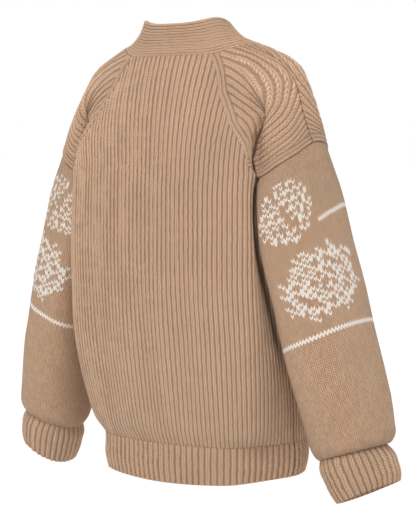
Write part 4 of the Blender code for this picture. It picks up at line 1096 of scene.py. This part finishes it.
def shoulder(name, side, front, seed):
    t = np.linspace(0.0005, 0.9985, LONG_STEPS)[None, :]
    yard = np.linspace(0.004, 0.9975, SIDE_STEPS)[:, None]
    p = yoke(t, 2 - yard if front else yard)
    # a rim over the body's edge carries on the step between body and shoulder
    e = np.linspace(1, 0.06, 12)[:, None] * (raglan_shift(t, front) + OVERLAP)
    out = e / e[0]
    step = p[0] - body(*raglan_at(t[0], front, 0 * t[0]), front)
    rim = body(*raglan_at(t + 0 * e, front, e), front) + step[None] * (1 - out)[..., None]
    p = np.concatenate([rim, p])
    s = np.concatenate([0 * e, yard + 0 * t])
    tt = t + 0 * s
    inside = (0.10, 0, -0.12)
    n = grid_normals(p, inside)
    p = p + n * (0.0011 * smooth(np.concatenate([out, 0 * yard * t]) * 1.5))[..., None]
    # the hollow over the armhole
    line = [(*yoke(tk, 2 - sk if front else sk), d) for tk, sk, d in FOLD_LINE]
    p = p - n * crease(p, line, 0.0055)[..., None]
    p, n = (c * np.array([side, 1, 1]) for c in (p, grid_normals(p, inside)))
    # the two sets of ribs and their stitches meet there
    cut = np.interp(tt, FOLD_T, FOLD_S)
    soft = np.interp(tt, (0.0, 0.52, 0.60, 1.0), (0.16, 0.10, 0.008, 0.008))
    w = smooth((s - cut) / soft * 0.5 + 0.5)
    r = FAN_RIBS(s, tt) * (1 - w) + ARM_RIBS(s, tt) * w
    rows = np.where(w < 0.5, FAN_ROWS(s, tt), ARM_ROWS(s, tt))
    lift = rib_height(r, rows * 0.3, seed, RIB_H * 0.88)
    uv = np.stack([r, rows], -1)
    # chain columns along the raglan seam, then along the dropped seam
    from_rim, (down, to_end) = along(p, 0)[0], along(p, 1)
    lift, uv = chained(lift, uv, from_rim, CHAIN, RIB_H * 0.80, 40, down / COURSE, 0.4)
    lift = lift * (1 - 0.7 * edge_drop(p, {"u1": (0.004, 1.0)}))
    lift, uv = chained(lift, uv, to_end, CHAIN_LOW, RIB_H * 0.85, 60, from_rim / COURSE, 0.5)
    open_cut = smooth((np.abs(s - cut) - 0.004) / 0.030)
    lift = np.where(tt > 0.58, lift * open_cut, lift)
    # painted shade in the armhole fold, where the two sets of ribs meet
    painted_shade = 0.55 * (1 - open_cut) * smooth((tt - 0.52) / 0.2)
    # painted shade along the fold, on down to the arm
    painted_shade = np.maximum(painted_shade, 0.85 * smooth((tt - 0.86) / 0.07)
                      * smooth((0.034 - np.abs(s - 0.231)) / 0.024))
    shell(name, p, n, lift, WALL, uv, YOKE_SHADED, 6, 6, dark=painted_shade, sewn=SHOULDER_SEAMS)


for word, side in SIDES:
    shoulder(word + "_shoulder_back", side, False, 41)
    shoulder(word + "_shoulder_front", side, True, 43)

# ---- sleeves and cuffs -------------------------------------------------------------------------
DENSE_W = np.linspace(0, 1, 1041)
SLEEVE_LINES = sleeve_frame(DENSE_W)
# how far the courses ride up towards the front of the arm, at each w
FROM_FRONT = np.abs((DENSE_W - 0.89 + 0.5) % 1 - 0.5)
TILT = 0.024 * (0.5 + 0.5 * np.cos(np.pi * np.clip(FROM_FRONT / 0.31, 0, 1)))
# and how far more near the upper stripe
SIGNED_W = np.where(DENSE_W > 0.5, DENSE_W - 1, DENSE_W)
TWIST = 0.037 * smooth((0.068 - SIGNED_W) / 0.156) * smooth((SIGNED_W + 0.46) / 0.16)
FINER = 3                # steps of the grid down each course of a sleeve


def sleeve_rows(v):
    """Points of the sleeve at each v, at even steps round it: [v, step, xyz]."""
    near_top = np.exp(-((v - 0.23) / 0.14) ** 2) * np.clip(v / 0.1, 0, 1)
    at = np.clip(v[:, None] - TILT[None, :] * np.sin(np.pi * v[:, None])
                 - TWIST[None, :] * near_top[:, None], 0, 1)
    p = np.einsum("vwk,kwc->vwc", weights(SLEEVE_V, at), SLEEVE_LINES)
    return np.stack([even_steps(line, 2 * WALES + 1)[0] for line in p])


def sleeve_heights():
    """v of each course, so that the courses are evenly deep."""
    v = np.linspace(0.0022, 1, 300)
    p = np.einsum("vk,kwc->vwc", weights(SLEEVE_V, v), SLEEVE_LINES[:, ::20])
    d = np.concatenate([[0], np.cumsum(np.linalg.norm(np.diff(p, axis=0), axis=-1).mean(1))])
    return lambda course: np.interp(np.asarray(course) / COURSES * d[-1], d, v)


COURSE_V = sleeve_heights()


def finer(p, axis, times):
    """Put evenly spaced lines between the lines across an axis."""
    p = np.moveaxis(p, axis, 0)
    k = np.arange((len(p) - 1) * times + 1) / times
    i = np.minimum(k.astype(int), len(p) - 2)
    w = (k - i).reshape((-1,) + (1,) * (p.ndim - 1))
    return np.moveaxis(p[i] * (1 - w) + p[i + 1] * w, 0, axis)


# cream motifs: kind, middle wale and course, half size in stitches, turn; for right and left
MOTIFS = {
    -1: (("leaf", 13.5, 18.7, 8.8, 11.8, -0.5), ("rosette", 6.0, 46.5, 13.6, 13.6, 0.2)),
    1: (("leaf", 15.5, 16.0, 8.8, 11.8, -0.5), ("rosette", 11.0, 43.0, 13.6, 13.6, 0.2)),
}
# the courses of the lower and the upper stripe
STRIPES = {-1: (64, 25), 1: (61, 21)}


def motif_chart(side):
    """Which stitches are cream: [wale, course]."""
    i, j = np.meshgrid(np.arange(WALES), np.arange(COURSES), indexing="ij")
    chart = np.zeros((WALES, COURSES))
    low, high = STRIPES[side]
    chart[:, low] = 1
    for kind, wale, course, half_w, half_c, turn in MOTIFS[side]:
        x = ((i + 0.5 - wale + WALES / 2) % WALES - WALES / 2) / half_w
        y = (j + 0.5 - course) / half_c
        x, y = x * math.cos(turn) - y * math.sin(turn), x * math.sin(turn) + y * math.cos(turn)
        if kind == "leaf":
            # pointed leaf: midrib of plain stitches, veins running up from it
            inside = np.abs(x) < 0.95 * np.clip(1 - y * y, 0, 1) ** 0.60
            veins = (np.floor(y * half_c * 0.9 + np.abs(x) * half_w).astype(int) % 3) != 0
            rib = np.abs(x) < 0.06
            dots = (i + j) % 2 == 0
            on = inside & ~rib & veins & (dots | ((i + 3 * j) % 5 == 0))
        else:
            # eight rounded petals round an open middle
            rho, ang = np.hypot(x, y), np.arctan2(y, x)
            inside = rho < 0.78 + 0.22 * np.abs(np.cos(4 * ang)) ** 0.6
            gap = np.abs(np.sin(4 * ang)) * rho > 0.80
            ring = (np.floor(rho * 6.2).astype(int) % 2) == 0
            dots = (i + 2 * j) % 3 != 0
            on = inside & (rho > 0.10) & (np.where(ring, dots, (i + j) % 4 == 0)) & ~gap
        chart[on] = 1
    # the upper stripe runs round the front only
    chart[:4, high] = chart[37:, high] = 1
    return chart


def sleeve(name, side):
    # each course is a row of v shapes: the points between two stitches stand half a course lower
    above, below = (np.clip(np.arange(COURSES + 1) + d, 0, COURSES) for d in (-0.5, 0.5))
    x = np.arange(2 * WALES + 1)[:, None] / 2
    low = (2 * x) % 2 == 1
    p = np.where(low[None], sleeve_rows(COURSE_V(below)), sleeve_rows(COURSE_V(above)))
    p = finer(p.transpose(1, 0, 2) * np.array([side, 1, 1]), 1, FINER)
    at = finer(np.where(low, below, above), 1, FINER)
    p = longer(p, 1, 0.0012, 0.0020)
    at = np.concatenate([at[:, :1] - 0.3, at, at[:, -1:] + 0.5], axis=1)
    p, n = prepared(p, (side * 0.20, 0.0, -0.32), True, ARM_FOLDS)
    chart = np.repeat(np.repeat(motif_chart(side), 2, axis=0), FINER, axis=1)
    for row in STRIPES[side]:
        # a stripe's yarn swells over the stitches next to it
        end = FINER * (row + 1)
        chart[:, end] = np.maximum(chart[:, end], chart[:, end - 1])
    chart = np.concatenate([chart[:, :1], chart, chart[:, -1:]], axis=1)
    # painted shade on the side of the sleeve that lies against the body
    shell(name, p, n, np.zeros(p.shape[:2]), WALL, np.stack([x + 0 * at, COURSES - at], -1), PLAIN,
          8, 15, closed=True, cream=chart, dark=0.3 * arm_shade(p, 0.0085), sewn=SLEEVE_SEAMS)


def cuff(name, side):
    w = np.linspace(0, 1, RIBS_CUFF * PER_RIB + 1)
    rings = ring_points(CUFF_RINGS, 2 * math.pi * w, [CUFF_POWER] * len(CUFF_RINGS))
    p = np.einsum("vk,kwc->wvc", weights(CUFF_V, edged(17, 0.057)), rings)
    p = longer(p * np.array([side, 1, 1]), 1, 0.0014, 0)
    p, n = prepared(p, (side * 0.265, -0.015, -0.57), True, ARM_FOLDS)
    down = along(p, 1)[0]
    x = w[:, None] * RIBS_CUFF + 0 * down
    y = -down / COURSE
    lift = HEM_RIB_H * rib_wave(x) * (1 + 0.12 * even_noise(np.floor(x), y * 0, 51, RIBS_CUFF))
    lift = lift * (0.25 + 0.75 * smooth(down / 0.010))
    # drawn in by the seam
    p = p - n * (0.0050 * (1 - smooth(down / 0.020)))[..., None]
    shell(name, p, n, lift, HEM_WALL, np.stack([x, y], -1), CHUNKY, 8, 4, closed=True,
          free=("v1",), sewn=CUFF_SEAMS)


for word, side in SIDES:
    sleeve(word + "_sleeve", side)
    cuff(word + "_cuff", side)


# ---- band --------------------------------------------------------------------------------------
def band_piece(name):
    q = np.linspace(0, 2, 561)[:, None]
    across = np.linspace(-0.025, 1, RIBS_BAND * PER_RIB + 1)[None, :]
    p, n = prepared(band(q, across), (0, 0, 0.005))
    x = across * RIBS_BAND + 0 * q
    y = along(p, 0)[0].mean(1, keepdims=True) / BAND_COURSE + 0 * x
    shell(name, p, n, rib_height(x, y, 61, BAND_RIB_H), BAND_WALL, np.stack([x, y], -1), FINE,
          7, 8, free=("v1", "u0", "u1"), sewn=BAND_SEAMS)


band_piece("neck_and_front_band")


# ---- buttons -----------------------------------------------------------------------------------
def button_material():
    g = Graph("horn_button")
    obj = g.new("ShaderNodeTexCoord").outputs["Object"]
    stretch = g.new("ShaderNodeMapping")
    stretch.inputs["Scale"].default_value = (1.0, 1.0, 0.35)
    g.put(stretch.inputs[0], obj)
    cloud = g.noise(stretch.outputs[0], 190.0, 4.0, 0.6).outputs["Fac"]
    tone = g.ramp(cloud, 0.32, 0.68)
    g.put(g.bsdf.inputs["Base Color"],
          g.mix(tone, (0.075, 0.036, 0.018, 1), (0.30, 0.16, 0.075, 1)))
    g.put(g.bsdf.inputs["Normal"], g.bump(cloud, 0.00012))
    g.set(Roughness=0.30, Coat_Weight=0.25, Coat_Roughness=0.15)
    return g.mat


def thread_material():
    g = Graph("button_thread")
    obj = g.new("ShaderNodeTexCoord").outputs["Object"]
    twist = g.noise(obj, 2200.0, 2.0).outputs["Fac"]
    g.put(g.bsdf.inputs["Base Color"],
          g.mix(twist, (0.36, 0.22, 0.13, 1), (0.56, 0.38, 0.25, 1)))
    g.put(g.bsdf.inputs["Normal"], g.bump(twist, 0.0001))
    g.set(Roughness=0.85)
    return g.mat


HORN = button_material()
THREAD = thread_material()
BUTTON_OFF = 0.0009      # height of the band's ribs in the CAD, on which the buttons sit
SEGMENTS = 48
# shares of the button's radius and thickness, from the middle of its back to that of its face
PROFILE = ((0.0, 0.0), (0.86, 0.0), (0.95, 0.10), (1.0, 0.32), (1.0, 0.66), (0.97, 0.88),
           (0.90, 0.99), (0.83, 0.97), (0.77, 0.84), (0.70, 0.70), (0.45, 0.62), (0.0, 0.60))
# one half of a strand of thread: out from the middle, off the button's back
STRAND = ((HOLE_AT, -0.0006), (0.0023, 0.0021), (0.0014, 0.0027))


def button_frame(z):
    """Middle of the back of the button at height z, and its up and outward directions: it stands
    off the ribs of the band."""
    up = np.array([0.0, float(body_y(0, z + 0.010) - body_y(0, z - 0.010)), 0.020])
    up /= np.linalg.norm(up)
    out = np.cross(up, (-1.0, 0.0, 0.0))
    reach = max(float(np.dot((x, float(body_y(x, z + d)) - LAP, z + d), out))
                for x in (0.0, 0.6 * BUTTON_R, BUTTON_R) for d in (-BUTTON_R, 0.0, BUTTON_R))
    reach += BUTTON_OFF + BUTTON_GAP
    return np.array([0.0, (reach - z * out[2]) / out[1], z]), up, out


def button(name, z):
    mid, up, out = button_frame(z)
    right = np.array([1.0, 0.0, 0.0])
    place = lambda x, h, d: Vector(mid + right * x + up * h + out * d)
    bm = bmesh.new()
    rings = []
    for rad, d in PROFILE:
        turns = [2 * math.pi * k / SEGMENTS for k in range(SEGMENTS if rad else 1)]
        rings.append([bm.verts.new(place(rad * BUTTON_R * math.cos(a), rad * BUTTON_R * math.sin(a),
                                         d * BUTTON_T)) for a in turns])
    for a, b in zip(rings, rings[1:]):
        for k in range(SEGMENTS):
            m = (k + 1) % SEGMENTS
            corners = (a[k % len(a)], a[m % len(a)], b[m % len(b)], b[k % len(b)])
            bm.faces.new(list(dict.fromkeys(corners)))
    bmesh.ops.recalc_face_normals(bm, faces=bm.faces[:])
    mesh = bpy.data.meshes.new(name)
    bm.to_mesh(mesh)
    bm.free()
    mesh.materials.append(HORN)
    mesh.materials.append(THREAD)
    obj = bpy.data.objects.new("horn_" + name, mesh)
    bpy.context.scene.collection.objects.link(obj)
    # four holes
    cut = bmesh.new()
    for dx in (-1, 1):
        for dz in (-1, 1):
            for vert in bmesh.ops.create_cone(cut, cap_ends=True, segments=20, radius1=HOLE_R,
                                              radius2=HOLE_R, depth=0.02)["verts"]:
                a, b, d = vert.co
                vert.co = place(a + dx * HOLE_AT, b + dz * HOLE_AT, d)
    bmesh.ops.recalc_face_normals(cut, faces=cut.faces[:])
    cutter_mesh = bpy.data.meshes.new("holes")
    cut.to_mesh(cutter_mesh)
    cut.free()
    cutter = bpy.data.objects.new("holes", cutter_mesh)
    bpy.context.scene.collection.objects.link(cutter)
    mod = obj.modifiers.new("holes", "BOOLEAN")
    mod.object = cutter
    mod.solver = "EXACT"
    made = bpy.data.meshes.new_from_object(obj.evaluated_get(
        bpy.context.evaluated_depsgraph_get()))
    obj.modifiers.clear()
    obj.data = made
    bpy.data.objects.remove(cutter, do_unlink=True)
    # thread through the holes, two strands each way
    bm = bmesh.new()
    bm.from_mesh(made)
    for face in bm.faces:
        face.smooth = True
    path = [(-a, d) for a, d in STRAND] + [(0, 0.0028)] + list(STRAND[::-1])
    for dz in (-HOLE_AT, HOLE_AT):
        for off in (-0.00035, 0.00035):
            last = None
            for a, d in path:
                loop = [bm.verts.new(place(a, dz + off + THREAD_R * math.cos(t),
                                           d + THREAD_R * math.sin(t)))
                        for t in np.linspace(0, 2 * math.pi, 9)[:-1]]
                for k in range(8 if last else 0):
                    m = (k + 1) % 8
                    face = bm.faces.new((last[k], last[m], loop[m], loop[k]))
                    face.material_index = 1
                    face.smooth = True
                last = loop
    bm.to_mesh(made)
    bm.free()
    made.set_sharp_from_angle(angle=math.radians(42))
    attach(obj, "root")
    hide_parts(name)


for index, height in enumerate(BUTTON_Z):
    button("button_%d" % (index + 1), height)


# ---- floor, light and camera -------------------------------------------------------------------
def flat_material(name, colour, rough):
    g = Graph(name)
    g.set(Base_Color=colour, Roughness=rough)
    return g.mat


floor_mesh = bpy.data.meshes.new("floor")
floor_mesh.from_pydata([(-40, -40, 0), (40, -40, 0), (40, 40, 0), (-40, 40, 0)], [],
                       [(0, 1, 2, 3)])
floor_mesh.materials.append(flat_material("pale_floor", (0.93, 0.93, 0.93, 1), 0.9))
floor = bpy.data.objects.new("floor", floor_mesh)
floor.location = (0, 0, -0.90)
bpy.context.scene.collection.objects.link(floor)


def sun(name, towards, energy, angle, colour=(1, 1, 1)):
    light = bpy.data.lights.new(name, "SUN")
    light.energy = energy
    light.angle = math.radians(angle)
    light.color = colour
    obj = bpy.data.objects.new(name, light)
    obj.rotation_euler = Vector(towards).to_track_quat("Z", "Y").to_euler()
    bpy.context.scene.collection.objects.link(obj)


# each vector points from the garment to the light
sun("key", (-0.36, 1.5, 1.9), 1.93, 30)
sun("side", (-2.0, 0.3, 0.9), 0.25, 60)
sun("front", (0.7, -1.8, 1.3), 0.9, 50)

world = bpy.data.worlds.new("studio")
world.use_nodes = True
nodes, links = world.node_tree.nodes, world.node_tree.links
seen = nodes["Background"]
seen.inputs["Color"].default_value = (1, 1, 1, 1)
seen.inputs["Strength"].default_value = 1.0
soft = nodes.new("ShaderNodeBackground")
soft.inputs["Color"].default_value = (1.0, 0.985, 0.97, 1)
soft.inputs["Strength"].default_value = 0.50
rays = nodes.new("ShaderNodeLightPath")
both = nodes.new("ShaderNodeMixShader")
links.new(rays.outputs["Is Camera Ray"], both.inputs[0])
links.new(soft.outputs[0], both.inputs[1])
links.new(seen.outputs[0], both.inputs[2])
links.new(both.outputs[0], nodes["World Output"].inputs[0])
bpy.context.scene.world = world
bpy.context.scene.view_settings.view_transform = "Standard"

cam_data = bpy.data.cameras.new("camera")
cam_data.sensor_fit = "VERTICAL"
cam_data.sensor_height = 36.0
cam_data.lens = 108.8
cam = bpy.data.objects.new("camera", cam_data)
cam.location = (-1.2619, 1.8021, -0.130)
aim = Vector((-0.0206, -0.0145, -0.298))
cam.rotation_euler = (aim - cam.location).to_track_quat("-Z", "Y").to_euler()
bpy.context.scene.collection.objects.link(cam)
bpy.context.scene.camera = cam
